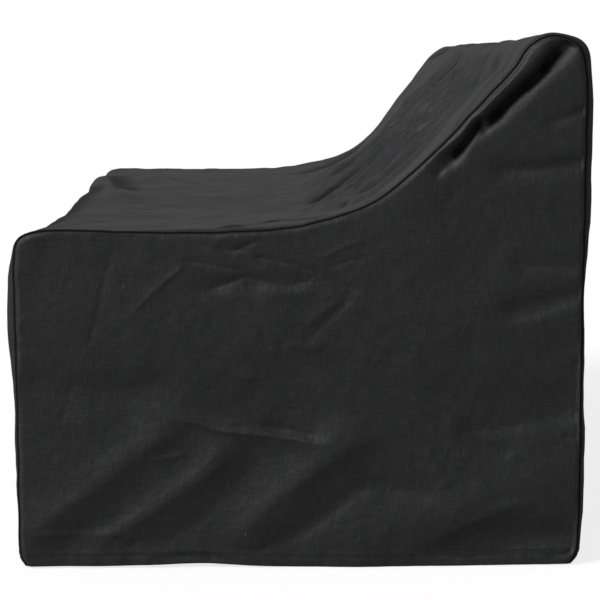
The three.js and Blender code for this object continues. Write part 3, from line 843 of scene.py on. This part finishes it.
def crease_rise(creases, u, v):
    """How far the creases lift the cloth at each place, all added up."""
    rise = np.zeros(u.shape)
    for crease in creases:
        path = np.asarray(crease.path, float)
        steps = max(int(lengths_along(path)[-1] / CREASE_STEP), 6)
        line = spline_points(path, np.linspace(0, 1, steps + 1))
        reach = CREASE_REACH * crease.width
        low, high = line.min(0) - reach, line.max(0) + reach
        near = np.nonzero((u > low[0]) & (u < high[0]) & (v > low[1]) & (v < high[1]))
        gap, share, way = nearest_on_line(line, np.stack([u[near], v[near]], -1))
        off = gap / (crease.width * (1 + crease.lean * way))
        crest = np.exp(-(np.sqrt(off * off + crease.soft**2) - crease.soft) * (1 + crease.soft))
        rise[near] += crease.rise * crest * fade_ends(share, 1, CREASE_FADE)
    return rise


def fine_pleats(across, depth):
    """Pleats with sharp crests, with finer ones over them."""
    line = across - table_value(PLEAT_ROWS, "depth", "shift", depth)
    along = depth * PLEAT_SPACING / PLEAT_LENGTH
    broad, fine = PLEAT_SEEDS
    ripple = PLEAT_CREST - np.abs(noise_field(line, along, PLEAT_SPACING, broad))
    finer = PLEAT_CREST - np.abs(noise_field(line, 1.5 * along, 0.55 * PLEAT_SPACING, fine))
    spread = smoothstep(*PLEATS_FROM, line) * smoothstep(*PLEATS_TO, line)
    height = np.maximum(table_value(PLEAT_ROWS, "depth", "height", depth), 0)
    return (ripple + 0.5 * finer) * spread * height


# Cloth meshes

class ClothMesh:
    """Collects a sheet's points, its place in the flat cut and its faces, all in millimetres."""

    def __init__(self):
        self.points, self.cut, self.recess, self.faces = [], [], [], []
        self.count = 0

    # The last argument is how much shade is painted at each point, from 0 on the open cloth to 1 in
    # a seam
    def add_points(self, points, cut, recess=0.0):
        first = self.count
        self.points.append(points.reshape(-1, 3))
        self.recess.append(np.broadcast_to(recess, points.shape[:-1]).ravel())
        self.cut.append(cut.reshape(-1, 2))
        self.count += self.points[-1].shape[0]
        return first + np.arange(self.points[-1].shape[0]).reshape(points.shape[:-1])

    def add_quads(self, a, b, c, d):
        self.faces.append(np.stack([a, b, c, d], -1).reshape(-1, 4))

    def join_rows(self, ids):
        self.add_quads(ids[:-1, :-1], ids[:-1, 1:], ids[1:, 1:], ids[1:, :-1])

    def add_grid(self, points, cut, recess):
        """A grid of rows and columns that faces out along rows crossed with columns."""
        ids = self.add_points(points, cut, recess)
        self.join_rows(ids)
        return ids

    def add_strip(self, edge, rings, cut_rings, way, recess=0.0):
        """Rings of points, each joined to the one before it; way -1 turns the strip over."""
        rings, cut_rings = np.stack(rings)[:, ::way], np.stack(cut_rings)[:, ::way]
        ids = self.add_points(rings, cut_rings, recess)
        self.join_rows(np.vstack([edge[None, ::way], ids]))

    def add_hem(self, edge, points, cut, inward, way):
        """Turns up the hem along a row of points; way is the way its cut runs on."""
        rings = hem_rings(points, np.array(inward, float))
        cut_rings = [cut + (0, way * (2 + 3 * k)) for k in range(len(rings))]
        self.add_strip(edge, rings, cut_rings, way)

    def add_allowance(self, edge, rings, cut, outward, way):
        """Turns in the seam allowance, painted all over with shade; outward is the way its cut runs
        on.
        """
        cut_rings = [cut + np.asarray(outward) * (k + 1) for k in range(len(rings))]
        self.add_strip(edge, rings, cut_rings, way, recess=1.0)

    def build(self, name, turned=False):
        points = (np.vstack(self.points) + DRAWING_SHIFT) * MILLIMETRE
        faces = np.vstack(self.faces)
        if turned:
            faces = faces[:, ::-1]
        mesh = bpy.data.meshes.new(name)
        mesh.vertices.add(len(points))
        mesh.vertices.foreach_set("co", points.ravel())
        mesh.loops.add(faces.size)
        mesh.loops.foreach_set("vertex_index", faces.ravel())
        mesh.polygons.add(len(faces))
        mesh.polygons.foreach_set("loop_start", np.arange(0, faces.size, 4))
        mesh.update(calc_edges=True)
        mesh.validate()
        cut_map = mesh.uv_layers.new(name=CUT_MAP)
        cut = np.vstack(self.cut) * MILLIMETRE
        cut_map.data.foreach_set("uv", cut[faces.ravel()].ravel())
        # The shade painted into the seams and creases, carried to the cloth's material as a point
        # attribute
        recess = mesh.attributes.new(PAINTED_SHADE_MAP, "FLOAT", "POINT")
        recess.data.foreach_set("value", np.concatenate(self.recess).astype(np.float32))
        mesh.shade_smooth()
        return add_object(name, mesh)


def hem_rings(edge, inward):
    """Rings that turn a hem's bottom edge inwards and back up inside the cloth."""
    sizes = cover_sizes()
    turn = in_mm(sizes.hem_turn)
    rings = []
    for angle in np.radians([45, 90, 135, 180]):
        ring = edge + inward * turn * (1 - math.cos(angle))
        ring[:, 2] -= turn * math.sin(angle)
        rings.append(ring)
    for height in (0.35, 0.7, 1.0):
        ring = edge + inward * (2 * turn - 0.3 * height)
        ring[:, 2] += height * in_mm(sizes.hem_depth)
        rings.append(ring)
    return rings


def rim_inset():
    """How far inside the seam a panel starts to turn in."""
    return (1 + math.sqrt(2)) * in_mm(cover_sizes().seam_roll) + SEAM_GAP


def turned_in_rings(edge, towards_seam, outward, laps_over):
    """Rings that turn a panel's rim in at the seam, flat against the other panel inside."""
    sizes = cover_sizes()
    radius = in_mm(sizes.seam_roll)
    rings = [
        edge + radius * (math.sin(a) * towards_seam - (1 - math.cos(a)) * outward)
        for a in ROLL_ANGLES
    ]
    inward = -(towards_seam + outward) / math.sqrt(2)
    allowance = inward * in_mm(sizes.seam_allowance)
    rings += [rings[-1] + allowance * share for share in (0.3, 1.0)]
    if laps_over:
        across = (towards_seam - outward) / math.sqrt(2)
        rings.append(rings[-1] + inward * SEAM_LAP + across * SEAM_LAP / 2)
    return rings


def painted_shade_amount(distance, relief, shade):
    """Painted shade: 1 down in the seam, up to the shade's share down in creases, 0 on open cloth.
    """
    in_crease = shade.share * smoothstep(shade.shallow, shade.deep, -relief)
    return np.maximum(bell(distance, PAINTED_SEAM_SHADE_REACH), in_crease)


def hem_lift(points, lift):
    """Lifts the hem, and the cloth above it less and less."""
    points[..., 2] += lift * (1 - smoothstep(0, HEM_WAVE_REACH, points[..., 2]))
    return points


def hem_relief(height):
    """The hem's second layer stands out a little, with a groove along its stitching."""
    step = HEM_STEP * (1 - smoothstep(*HEM_EDGE, height))
    return step - STITCH_GROOVE * bell(height - STITCH_ROW, GROOVE_REACH)


def hem_puckers(along, height, seed):
    """Small puckers that the hem's stitching draws up."""
    near, far = HEM_PUCKER_SPACINGS
    ripple = noise_line(along, near, seed) + 0.6 * noise_line(along, far, seed + 1)
    return HEM_PUCKER_HEIGHT * ripple * bell(height - STITCH_ROW, HEM_PUCKER_REACH)


def rows_above_hem(top, count):
    """Heights of the points from the hem to the top, one column for each value of top."""
    hem = np.array(HEM_ROWS)
    share = spaced(0, 1, count, lambda at: 1 + 2 * bell(1 - at, 0.02))[1:, None]
    above = hem[-1] + share * (np.asarray(top)[None, :] - hem[-1])
    return np.vstack([np.repeat(hem[:, None], above.shape[1], axis=1), above])


def side_grid(seam):
    """(y, z) of a side panel's points, and the stations of its rim from front hem to back hem."""
    sizes = cover_sizes()
    start, end, inset = seam.length_at(1), seam.length_at(2), rim_inset()
    lengths = spaced(start, end, sizes.side_columns, lambda at: (
        1 + 2 * bell(at - start, CORNER_REACH) + 2 * bell(end - at, CORNER_REACH)))
    stations = seam.station_at(lengths)
    top = seam.inset(stations, inset)
    front_hem, back_hem = seam.inset([0.0, 3.0], inset)[:, 0]

    # Each point lies between the four edges: hem, top seam, front edge and back edge
    share = (top[:, 0] - top[0, 0]) / (top[-1, 0] - top[0, 0])
    low_share = 0.5 * share + 0.5 * (lengths - start) / (end - start)
    z = rows_above_hem(top[:, 1], sizes.side_rows)
    up = z / top[None, :, 1]
    front = seam.inset(up[:, 0], inset)[:, 0]
    back = seam.inset(3 - up[:, -1], inset)[:, 0]
    u = share[None, :] + (1 - up) * (low_share - share)[None, :]
    low = front_hem + low_share * (back_hem - front_hem)
    y = (
        (1 - u) * np.interp(up, up[:, 0], front)
        + u * np.interp(up, up[:, -1], back)
        + (1 - up) * low[None, :]
        + up * top[None, :, 0]
        - (1 - u) * ((1 - up) * front_hem + up * top[0, 0])
        - u * ((1 - up) * back_hem + up * top[-1, 0])
    )
    y[:, 0], y[:, -1] = front, back
    return y, z, np.concatenate([up[:, 0], stations[1:], 3 - up[-2::-1, -1]])


def side_panel(side, folds, creases):
    """(mesh, stitch line) of a side panel."""
    sizes = cover_sizes()
    sign, seed, seam = SIDE_SIGN[side], PANEL_SEED[side], Seam(side)
    y, z, rim_stations = side_grid(seam)
    distance, length = seam.nearest(y, z)
    distance = np.maximum(distance - rim_inset(), 0)
    distance[:, 0] = distance[:, -1] = distance[-1, :] = 0
    relief = crease_rise(creases, y, z)
    rise = fold_rise(folds, y, z) + relief + unevenness(y, z, seed)
    rise = (rise + hem_relief(z) + hem_puckers(y, z, seed + 7)) * smoothstep(0, RIM_FADE, distance)
    rise += in_mm(sizes.side_swell) * roll_share(distance) + seam_pucker(distance, length, seed + 3)
    x = sign * (in_mm(sizes.seam_width) / 2 + rise)
    points = hem_lift(np.stack([x, y, z], -1), table_value(HEM_WAVE, "y", side, y))

    cloth = ClothMesh()
    cut = np.stack([y, z], -1)
    # Shade is painted into the seams and the deep creases
    ids = cloth.add_grid(points, cut, painted_shade_amount(distance, relief, SIDE_SHADE))
    cloth.add_hem(ids[0], points[0], cut[0], (-sign, 0, 0), -1)

    # The seam allowance follows the front edge, the top seam and the back edge
    rim = np.concatenate([ids[:, 0], ids[-1, 1:], ids[-2::-1, -1]])
    normal = seam.normal(rim_stations)
    towards_seam = np.column_stack([np.zeros(len(rim)), normal])
    outward = np.array([sign, 0.0, 0.0])
    rings = turned_in_rings(points.reshape(-1, 3)[rim], towards_seam, outward, laps_over=True)
    cloth.add_allowance(rim, rings, cut.reshape(-1, 2)[rim], normal, 1)
    return cloth, points[HEM_ROWS.index(STITCH_ROW)]


def top_value(column, station):
    """A column of the top edge's table, read over the top from station 1 to 2."""
    rows = np.arange(len(TOP_EDGE))
    values = [getattr(row, column) for row in TOP_EDGE]
    return curve_through(rows, values, (station - 1) * (len(TOP_EDGE) - 1))


def centre_columns():
    """Places across the centre panel, closer together by the seams and over its left half."""
    sizes = cover_sizes()
    half = in_mm(sizes.seam_width) / 2 - rim_inset()
    return spaced(-half, half, sizes.centre_columns, lambda at: (
        1 + 1.3 * smoothstep(*PLEATED_FROM, at) + 5 * bell(half - np.abs(at), RIM_FADE)))


def centre_stations(seam):
    """Places along the centre panel, from the front hem to the back hem."""
    sizes = cover_sizes()
    shoulder, back_shoulder = in_mm(sizes.shoulder_height), in_mm(sizes.back_shoulder_height)
    front = np.concatenate([HEM_ROWS, np.linspace(HEM_ROWS[-1], shoulder, FRONT_ROWS)[1:]])
    back = np.concatenate([HEM_ROWS, np.linspace(HEM_ROWS[-1], back_shoulder, BACK_ROWS)[1:]])
    over = np.linspace(seam.length_at(1), seam.length_at(2), sizes.centre_rows)
    return np.concatenate([
        front / shoulder, seam.station_at(over)[1:-1], 3 - back[::-1] / back_shoulder])


def creases_along_cloth(seam, at):
    """The top's creases are drawn in [across, depth], but keep their width along the cloth."""
    depth, length = seam.point(at)[:, 0], seam.length_at(at)
    return [
        crease._replace(path=[(a, float(np.interp(b, depth, length))) for a, b in crease.path])
        for crease in TOP_CREASES
    ]


def centre_hem_wave(side, row, x, half):
    """How far the front or back hem hangs above the floor, from seam to seam."""
    corner = row.right + (row.left - row.right) * (x + half) / (2 * half)
    loose = 1 - (np.abs(x) / half) ** 6
    return corner + loose * (1 + noise_line(x + 5000, HEM_WAVE_SPACING, HEM_WAVE_SEED[side]))


def centre_panel():
    """(mesh, stitch lines) of the centre panel."""
    sizes = cover_sizes()
    half, seed = in_mm(sizes.seam_width) / 2, PANEL_SEED["centre"]
    left, right = Seam("left"), Seam("right")
    at, x = centre_stations(left), centre_columns()
    share = smoothstep(RIGHT_SHAPE_FROM, LEFT_SHAPE_FROM, x)[None, :, None]
    section = right.point(at)[:, None] * (1 - share) + left.point(at)[:, None] * share
    normal = right.normal(at)[:, None] * (1 - share) + left.normal(at)[:, None] * share
    normal /= np.linalg.norm(normal, axis=-1, keepdims=True)
    across = np.broadcast_to(x[None, :], section.shape[:2])
    station = np.broadcast_to(at[:, None], section.shape[:2])
    length = np.broadcast_to(left.length_at(at)[:, None], section.shape[:2])
    y, z = section[..., 0], section[..., 1]
    distance = np.maximum(half - rim_inset() - np.abs(across), 0)
    on_front, on_back = station < 1, station > 2

    def by_face(front, top, back):
        return np.where(on_front, front, np.where(on_back, back, top))

    def from_edges(column, on_top):
        front, back = (table_value(edge, "z", column, z) for edge in (FRONT_EDGE, BACK_EDGE))
        return by_face(front, on_top, back)

    # Folds and creases of the three faces die away at the shoulders between them
    start, end = left.length_at(1), left.length_at(2)
    shoulder, back_shoulder = in_mm(sizes.shoulder_height), in_mm(sizes.back_shoulder_height)
    relief = crease_rise(creases_along_cloth(left, at), across, length) + fine_pleats(across, y)
    front_rise = fold_rise(FRONT_FOLDS, across, z) + crease_rise(FRONT_CREASES, across, z)
    back_rise = fold_rise(BACK_FOLDS, across, z) + crease_rise(BACK_CREASES, across, z)
    top_rise = fold_rise(TOP_FOLDS, across, y) + relief
    rise = by_face(
        front_rise * smoothstep(shoulder, shoulder - SHOULDER_FADE, z),
        top_rise * fade_ends(length - start, end - start, SHOULDER_FADE),
        back_rise * smoothstep(back_shoulder, back_shoulder - SHOULDER_FADE, z))
    rise += unevenness(across, length, seed) + hem_relief(z) + hem_puckers(across, z, seed + 7)
    rise *= smoothstep(0, RIM_FADE, distance)
    rise += from_edges("swell", top_value("swell", station)) * roll_share(distance)
    rise += from_edges("puff", 0.0) * (1 - (np.abs(across) / half) ** 8)
    leaning = across - SAG_LEAN * (1 - (across / half) ** 2)
    sag = by_face(0.0, top_value("sag", station), 0.0)
    rise -= sag * np.cos(math.pi * leaning / (2 * half)) ** 2
    left_pucker, right_pucker = (
        seam_pucker(distance, length, CENTRE_PUCKER_SEED[side]) for side in ("left", "right"))
    rise += np.where(across > 0, left_pucker, right_pucker)

    points = np.concatenate([across[..., None], section + normal * rise[..., None]], -1)
    front_wave = centre_hem_wave("front", HEM_WAVE[0], x, half)
    back_wave = centre_hem_wave("back", HEM_WAVE[-1], x, half)
    points = hem_lift(points, np.where(station < 1.5, front_wave[None, :], back_wave[None, :]))

    cloth = ClothMesh()
    cut = np.stack([across, length], -1)
    # Shade is painted into the seams and the top's creases
    ids = cloth.add_grid(points, cut, painted_shade_amount(distance, by_face(0.0, relief, 0.0), TOP_SHADE))
    cloth.add_hem(ids[0], points[0], cut[0], (0, 1, 0), -1)
    cloth.add_hem(ids[-1], points[-1], cut[-1], (0, -1, 0), 1)
    for column, seam, sign in ((0, right, -1), (-1, left, 1)):
        outward = np.column_stack([np.zeros(len(at)), seam.normal(at)])
        towards_seam = np.array([sign, 0.0, 0.0])
        rings = turned_in_rings(points[:, column], towards_seam, outward, laps_over=False)
        cloth.add_allowance(ids[:, column], rings, cut[:, column], (sign, 0), -sign)
    row = HEM_ROWS.index(STITCH_ROW)
    return cloth, [points[row], points[-1 - row]]


# Sewing

def stitch_run(cloth, line, outward):
    """A run of slim stitches along a line of points."""
    sizes = cover_sizes()
    pitch, reach = in_mm(sizes.stitch_pitch), in_mm(sizes.stitch_length) / 2
    radius = in_mm(sizes.thread_radius)
    lengths = lengths_along(line)
    middles = np.arange(6 * pitch, lengths[-1] - 6 * pitch, pitch)
    rings = []
    for part in STITCH_SHAPE:
        place = middles + part.share * reach
        centre = read_line(place, lengths, line) - outward * part.sink * radius
        ahead = read_line(place + 0.5, lengths, line) - read_line(place - 0.5, lengths, line)
        ahead /= np.linalg.norm(ahead, axis=1, keepdims=True)
        aside = np.cross(ahead, outward)
        rings.append(np.stack([
            centre + part.size * radius * (math.cos(a) * outward + math.sin(a) * aside)
            for a in np.radians([0, 60, 120, 180, 240, 300])
        ], 1))
    # Five rings along each stitch, with six points round each ring
    points = np.stack(rings, 1)
    ids = cloth.add_points(points, np.zeros(points.shape[:-1] + (2,)))
    around = np.concatenate([ids, ids[:, :, :1]], 2)
    cloth.add_quads(around[:, :-1, :-1], around[:, 1:, :-1], around[:, 1:, 1:], around[:, :-1, 1:])
    for cap in (ids[:, 0], ids[:, -1, ::-1]):
        cloth.faces.append(cap[:, [0, 1, 2, 3]])
        cloth.faces.append(cap[:, [0, 3, 4, 5]])


# Materials

def feed(tree, socket, value):
    """Links an output to a socket, or sets the socket to a number or a colour."""
    if isinstance(value, bpy.types.NodeSocket):
        tree.links.new(value, socket)
    elif socket.type == "RGBA":
        socket.default_value = (*value, 1.0)
    else:
        socket.default_value = value


def add_node(tree, kind, values, **settings):
    """A node with its settings, and with its inputs set or linked."""
    node = tree.nodes.new(kind)
    for name, value in settings.items():
        setattr(node, name, value)
    for socket, value in values.items():
        feed(tree, node.inputs[socket], value)
    return node


def math_node(tree, operation, *values, clamp=False):
    values = dict(enumerate(values))
    node = add_node(tree, "ShaderNodeMath", values, operation=operation, use_clamp=clamp)
    return node.outputs[0]


def noise_node(tree, vector, scale, detail=2.0, roughness=0.5):
    values = {"Vector": vector, "Scale": scale, "Detail": detail, "Roughness": roughness}
    return add_node(tree, "ShaderNodeTexNoise", values).outputs["Fac"]


def stretched(tree, vector, across, along):
    values = {0: vector, 1: (across, along, 1.0)}
    return add_node(tree, "ShaderNodeVectorMath", values, operation="MULTIPLY").outputs[0]


def range_node(tree, value, from_low, from_high, to_low=0.0, to_high=1.0):
    values = {"Value": value, "From Min": from_low, "From Max": from_high,
              "To Min": to_low, "To Max": to_high}
    return add_node(tree, "ShaderNodeMapRange", values).outputs["Result"]


def mix_colour(tree, factor, a, b):
    # Of the mix node's sockets, 6 and 7 are its colours, and 2 is the mixed colour
    return add_node(tree, "ShaderNodeMix", {0: factor, 6: a, 7: b}, data_type="RGBA").outputs[2]


def bump_node(tree, height, distance, strength, **normal):
    values = {"Height": height, "Distance": distance, "Strength": strength, **normal}
    return add_node(tree, "ShaderNodeBump", values).outputs["Normal"]


def object_place(tree):
    return tree.nodes.new("ShaderNodeTexCoord").outputs["Object"]


def camera_ray(tree):
    return tree.nodes.new("ShaderNodeLightPath").outputs["Is Camera Ray"]


def new_group(name, inputs, outputs):
    """A node group; inputs are {name: default}, or None for a vector, and outputs are values."""
    group = bpy.data.node_groups.new(name, "ShaderNodeTree")
    for socket, value in inputs.items():
        kind = "NodeSocketVector" if value is None else "NodeSocketFloat"
        made = group.interface.new_socket(name=socket, in_out="INPUT", socket_type=kind)
        if value is not None:
            made.default_value = value
    for socket in outputs:
        group.interface.new_socket(name=socket, in_out="OUTPUT", socket_type="NodeSocketFloat")
    start = group.nodes.new("NodeGroupInput")
    end = group.nodes.new("NodeGroupOutput")
    return group, start.outputs, end.inputs


def place_group(tree, group, **values):
    return add_node(tree, "ShaderNodeGroup", values, node_tree=group).outputs


def weave_group():
    """Plain weave: threads over and under each other, with thicker slubs here and there."""
    if "plain_weave" in bpy.data.node_groups:
        return bpy.data.node_groups["plain_weave"]
    inputs = {"Cut": None, "Pitch": 0.0011}
    group, given, result = new_group("plain_weave", inputs, ("Height", "Slub"))
    split = add_node(group, "ShaderNodeSeparateXYZ", {0: given["Cut"]}).outputs
    turns = math_node(group, "DIVIDE", math.pi, given["Pitch"])
    warp = math_node(group, "SINE", math_node(group, "MULTIPLY", split["X"], turns))
    weft = math_node(group, "SINE", math_node(group, "MULTIPLY", split["Y"], turns))
    woven = math_node(group, "MULTIPLY", warp, weft)
    warp_slub, weft_slub = (
        math_node(group, "SUBTRACT", noise_node(
            group, stretched(group, given["Cut"], across, along), 1.0, 3.0, 0.7), 0.5)
        for across, along in ((330, 45), (45, 330)))
    slub = math_node(group, "ADD", warp_slub, weft_slub)
    height = math_node(group, "MULTIPLY_ADD", woven, 0.5, math_node(group, "MULTIPLY", slub, 1.6))
    feed(group, result["Height"], height)
    feed(group, result["Slub"], slub)
    return group


def crinkle_group():
    """Fine crinkles that are left in coated cloth when it has been folded and handled."""
    if "fine_crinkle" in bpy.data.node_groups:
        return bpy.data.node_groups["fine_crinkle"]
    group, given, result = new_group("fine_crinkle", {"Place": None, "Scale": 28.0}, ("Height",))
    cloud = noise_node(group, given["Place"], given["Scale"], detail=4.0, roughness=0.55)
    middle = math_node(group, "ABSOLUTE", math_node(group, "SUBTRACT", cloud, 0.5))
    ridged = math_node(group, "SUBTRACT", 0.25, middle)
    feed(group, result["Height"], math_node(group, "MULTIPLY", ridged, 4.0))
    return group


def new_material(name, **constants):
    """(material, node tree, shader) with constants on the shader's own sockets."""
    material = bpy.data.materials.new(name)
    material.use_nodes = True
    tree = material.node_tree
    shader = next(n for n in tree.nodes if n.type == "BSDF_PRINCIPLED").inputs
    for socket, value in constants.items():
        shader[socket.replace("_", " ")].default_value = value
    return material, tree, shader


def cloth_material():
    if CLOTH_MATERIAL in bpy.data.materials:
        return bpy.data.materials[CLOTH_MATERIAL]
    finish = cover_cloth()
    material, tree, shader = new_material(
        CLOTH_MATERIAL, Specular_IOR_Level=0.30, Sheen_Weight=0.01, Sheen_Roughness=0.45)
    cut = add_node(tree, "ShaderNodeUVMap", {}, uv_map=CUT_MAP).outputs["UV"]
    place = object_place(tree)
    weave = place_group(tree, weave_group(), Cut=cut, Pitch=finish.thread_pitch)
    crinkle = place_group(tree, crinkle_group(), Place=place, Scale=26.0)
    # The shade painted into the seams and creases
    recess = add_node(tree, "ShaderNodeAttribute", {}, attribute_name=PAINTED_SHADE_MAP).outputs["Fac"]

    # The coating is a little paler in soft patches and along slubs, with a few specks of lint, and
    # darker where shade is painted down in the seams and creases
    patches = range_node(tree, noise_node(tree, place, 5.5, 4.0, 0.6), 0.35, 0.75)
    slubs = math_node(tree, "MULTIPLY", range_node(tree, weave["Slub"], -0.16, 0.22), 0.75)
    rubbed = math_node(tree, "MULTIPLY_ADD", patches, 0.25, slubs, clamp=True)
    colour = mix_colour(tree, rubbed, finish.cloth_colour, finish.rubbed_colour)
    specks = add_node(tree, "ShaderNodeTexVoronoi", {"Vector": place, "Scale": 26.0})
    speck = range_node(tree, specks.outputs["Distance"], 0.045, 0.02)
    linty = range_node(tree, noise_node(tree, place, 9.0), 0.60, 0.64)
    colour = mix_colour(tree, math_node(tree, "MULTIPLY", speck, linty), colour, finish.lint_colour)
    # The dark colour of the shade painted into the seams and creases
    deep = [0.15 * c for c in finish.cloth_colour]
    feed(tree, shader["Base Color"], mix_colour(tree, recess, colour, deep))

    cloudy = range_node(tree, noise_node(tree, place, 14.0, 3.0), 0.3, 0.7, -0.05, 0.05)
    rough = math_node(tree, "ADD", cloudy, finish.roughness)
    rough = math_node(tree, "MULTIPLY_ADD", weave["Slub"], 0.15, rough)
    rough = math_node(tree, "MULTIPLY_ADD", recess, 0.4, rough, clamp=True)
    feed(tree, shader["Roughness"], rough)
    folded = bump_node(tree, crinkle["Height"], finish.crinkle_height, 0.4)
    woven = bump_node(tree, weave["Height"], finish.weave_height, 0.8, Normal=folded)
    feed(tree, shader["Normal"], woven)
    return material


def thread_material():
    if "sewing_thread" in bpy.data.materials:
        return bpy.data.materials["sewing_thread"]
    thread = cover_cloth().thread_colour
    material, tree, shader = new_material("sewing_thread")
    place = object_place(tree)
    crinkle = place_group(tree, crinkle_group(), Place=place, Scale=900.0)
    colour = mix_colour(tree, noise_node(tree, place, 700.0), [0.6 * c for c in thread], thread)
    feed(tree, shader["Base Color"], colour)
    rough = range_node(tree, noise_node(tree, place, 300.0), 0.3, 0.7, 0.42, 0.58)
    feed(tree, shader["Roughness"], rough)
    feed(tree, shader["Normal"], bump_node(tree, crinkle["Height"], 0.0001, 0.5))
    return material


def floor_material():
    studio = cover_studio()
    material, tree, shader = new_material(
        "pale_floor", Emission_Strength=1.0, Roughness=0.85, Specular_IOR_Level=0.2)
    base = studio.floor_colour
    paler = [min(1.0, c * 1.02) for c in base]
    mottled = mix_colour(tree, noise_node(tree, object_place(tree), 3.0), base, paler)
    # The camera sees the floor paler, and its shadows fainter, than the light it throws back
    seen, glow = camera_ray(tree), studio.floor_glow
    feed(tree, shader["Base Color"], mix_colour(tree, seen, mottled, (1.2 * (1 - glow),) * 3))
    feed(tree, shader["Emission Color"], mix_colour(tree, seen, (0.0,) * 3, (glow,) * 3))
    return material


# Operators

def dress(piece, node=None):
    """Puts a piece on the frame's body, in the place of its solid."""
    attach(piece, BODY)
    if node:
        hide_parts(node)


def hem_stitches(name, lines_and_outwards):
    cloth = ClothMesh()
    for line, outward in lines_and_outwards:
        stitch_run(cloth, line, np.array(outward, float))
    piece = cloth.build(name)
    piece.data.materials.append(thread_material())
    dress(piece)
    return piece


def make_side_panel(side, folds, creases):
    cloth, stitch_line = side_panel(side, folds, creases)
    piece = cloth.build(f"{side}_side_cloth", turned=side == "right")
    piece.data.materials.append(cloth_material())
    dress(piece, f"{side}_side_panel")
    outward = (SIDE_SIGN[side], 0, 0)
    stitches = hem_stitches(f"{side}_hem_stitches", [(stitch_line, outward)])


class SOFA_COVER_OT_left_side(Operator):
    """Drape the left side panel, with its folds, creases and stitched hem"""

    bl_idname = "sofa_cover.left_side"
    bl_label = "Left Side Panel"

    def execute(self, context):
        make_side_panel("left", LEFT_FOLDS, LEFT_CREASES)
        return {"FINISHED"}


class SOFA_COVER_OT_right_side(Operator):
    """Drape the right side panel, with its folds, creases and stitched hem"""

    bl_idname = "sofa_cover.right_side"
    bl_label = "Right Side Panel"

    def execute(self, context):
        make_side_panel("right", RIGHT_FOLDS, RIGHT_CREASES)
        return {"FINISHED"}


class SOFA_COVER_OT_centre(Operator):
    """Drape the centre panel up the front, over the seat and the back, and down behind"""

    bl_idname = "sofa_cover.centre"
    bl_label = "Centre Panel"

    def execute(self, context):
        cloth, (front_line, back_line) = centre_panel()
        piece = cloth.build("centre_cloth")
        piece.data.materials.append(cloth_material())
        dress(piece, "centre_panel")
        lines = [(front_line, (0, -1, 0)), (back_line, (0, 1, 0))]
        stitches = hem_stitches("centre_hem_stitches", lines)
        return {"FINISHED"}


class SOFA_COVER_OT_studio(Operator):
    """Set up the camera, the pale floor and the soft light"""

    bl_idname = "sofa_cover.studio"
    bl_label = "Studio"

    def execute(self, context):
        studio = cover_studio()
        scene = context.scene
        lens = bpy.data.cameras.new("camera")
        lens.sensor_width = 36.0
        lens.lens = studio.focal_length
        lens.clip_end = 500.0
        camera = add_object("camera", lens)
        camera.location = studio.camera_place
        camera.rotation_euler = Euler(
            (math.pi / 2 - studio.camera_pitch, 0.0, studio.camera_heading - math.pi / 2))
        scene.camera = camera

        side = 80.0
        corners = [(-side, -side), (side, -side), (side, side), (-side, side)]
        mesh = bpy.data.meshes.new("floor")
        mesh.from_pydata([(a, b, -studio.floor_drop) for a, b in corners], [], [(0, 1, 2, 3)])
        mesh.materials.append(floor_material())
        floor = add_object("floor", mesh)

        sun = bpy.data.lights.new("overhead_light", "SUN")
        sun.energy = studio.key_strength
        sun.angle = studio.key_spread
        lamp = add_object("overhead_light", sun)
        lamp.rotation_euler = Vector(studio.key_direction).to_track_quat("Z", "Y").to_euler()

        world = bpy.data.worlds.new("studio")
        world.use_nodes = True
        tree = world.node_tree
        backdrop = tree.nodes["Background"].inputs
        backdrop["Color"].default_value = (1.0, 1.0, 1.0, 1.0)
        # The camera sees the sky white, however little it lights the cloth
        values = {0: camera_ray(tree), 2: studio.sky_strength, 3: 1.0}
        strength = add_node(tree, "ShaderNodeMix", values, data_type="FLOAT")
        feed(tree, backdrop["Strength"], strength.outputs[0])
        scene.world = world
        scene.view_settings.view_transform = "Standard"
        return {"FINISHED"}

class SOFA_COVER_PT_panel(Panel):
    """The cover's pieces and settings"""

    bl_label = "Sofa Cover"
    bl_idname = "SOFA_COVER_PT_panel"
    bl_space_type = "VIEW_3D"
    bl_region_type = "UI"
    bl_category = "Sofa Cover"

    def draw(self, context):
        layout = self.layout
        for operator in OPERATORS:
            layout.operator(operator.bl_idname)
        for group in (cover_sizes(), cover_cloth(), cover_studio()):
            box = layout.box()
            for name in group.__annotations__:
                box.prop(group, name)


OPERATORS = (
    SOFA_COVER_OT_centre,
    SOFA_COVER_OT_left_side,
    SOFA_COVER_OT_right_side,
    SOFA_COVER_OT_studio,
)
SETTINGS = {
    "sofa_cover_sizes": CoverSizes,
    "sofa_cover_cloth": CoverCloth,
    "sofa_cover_studio": CoverStudio,
}


def register():
    for name, settings in SETTINGS.items():
        bpy.utils.register_class(settings)
        setattr(bpy.types.Scene, name, PointerProperty(type=settings))
    for entry in (*OPERATORS, SOFA_COVER_PT_panel):
        bpy.utils.register_class(entry)


def unregister():
    for entry in (SOFA_COVER_PT_panel, *reversed(OPERATORS)):
        bpy.utils.unregister_class(entry)
    for name, settings in reversed(SETTINGS.items()):
        delattr(bpy.types.Scene, name)
        bpy.utils.unregister_class(settings)


def main():
    register()
    bpy.ops.sofa_cover.centre()
    bpy.ops.sofa_cover.left_side()
    bpy.ops.sofa_cover.right_side()
    bpy.ops.sofa_cover.studio()


if __name__ == "__main__":
    main()
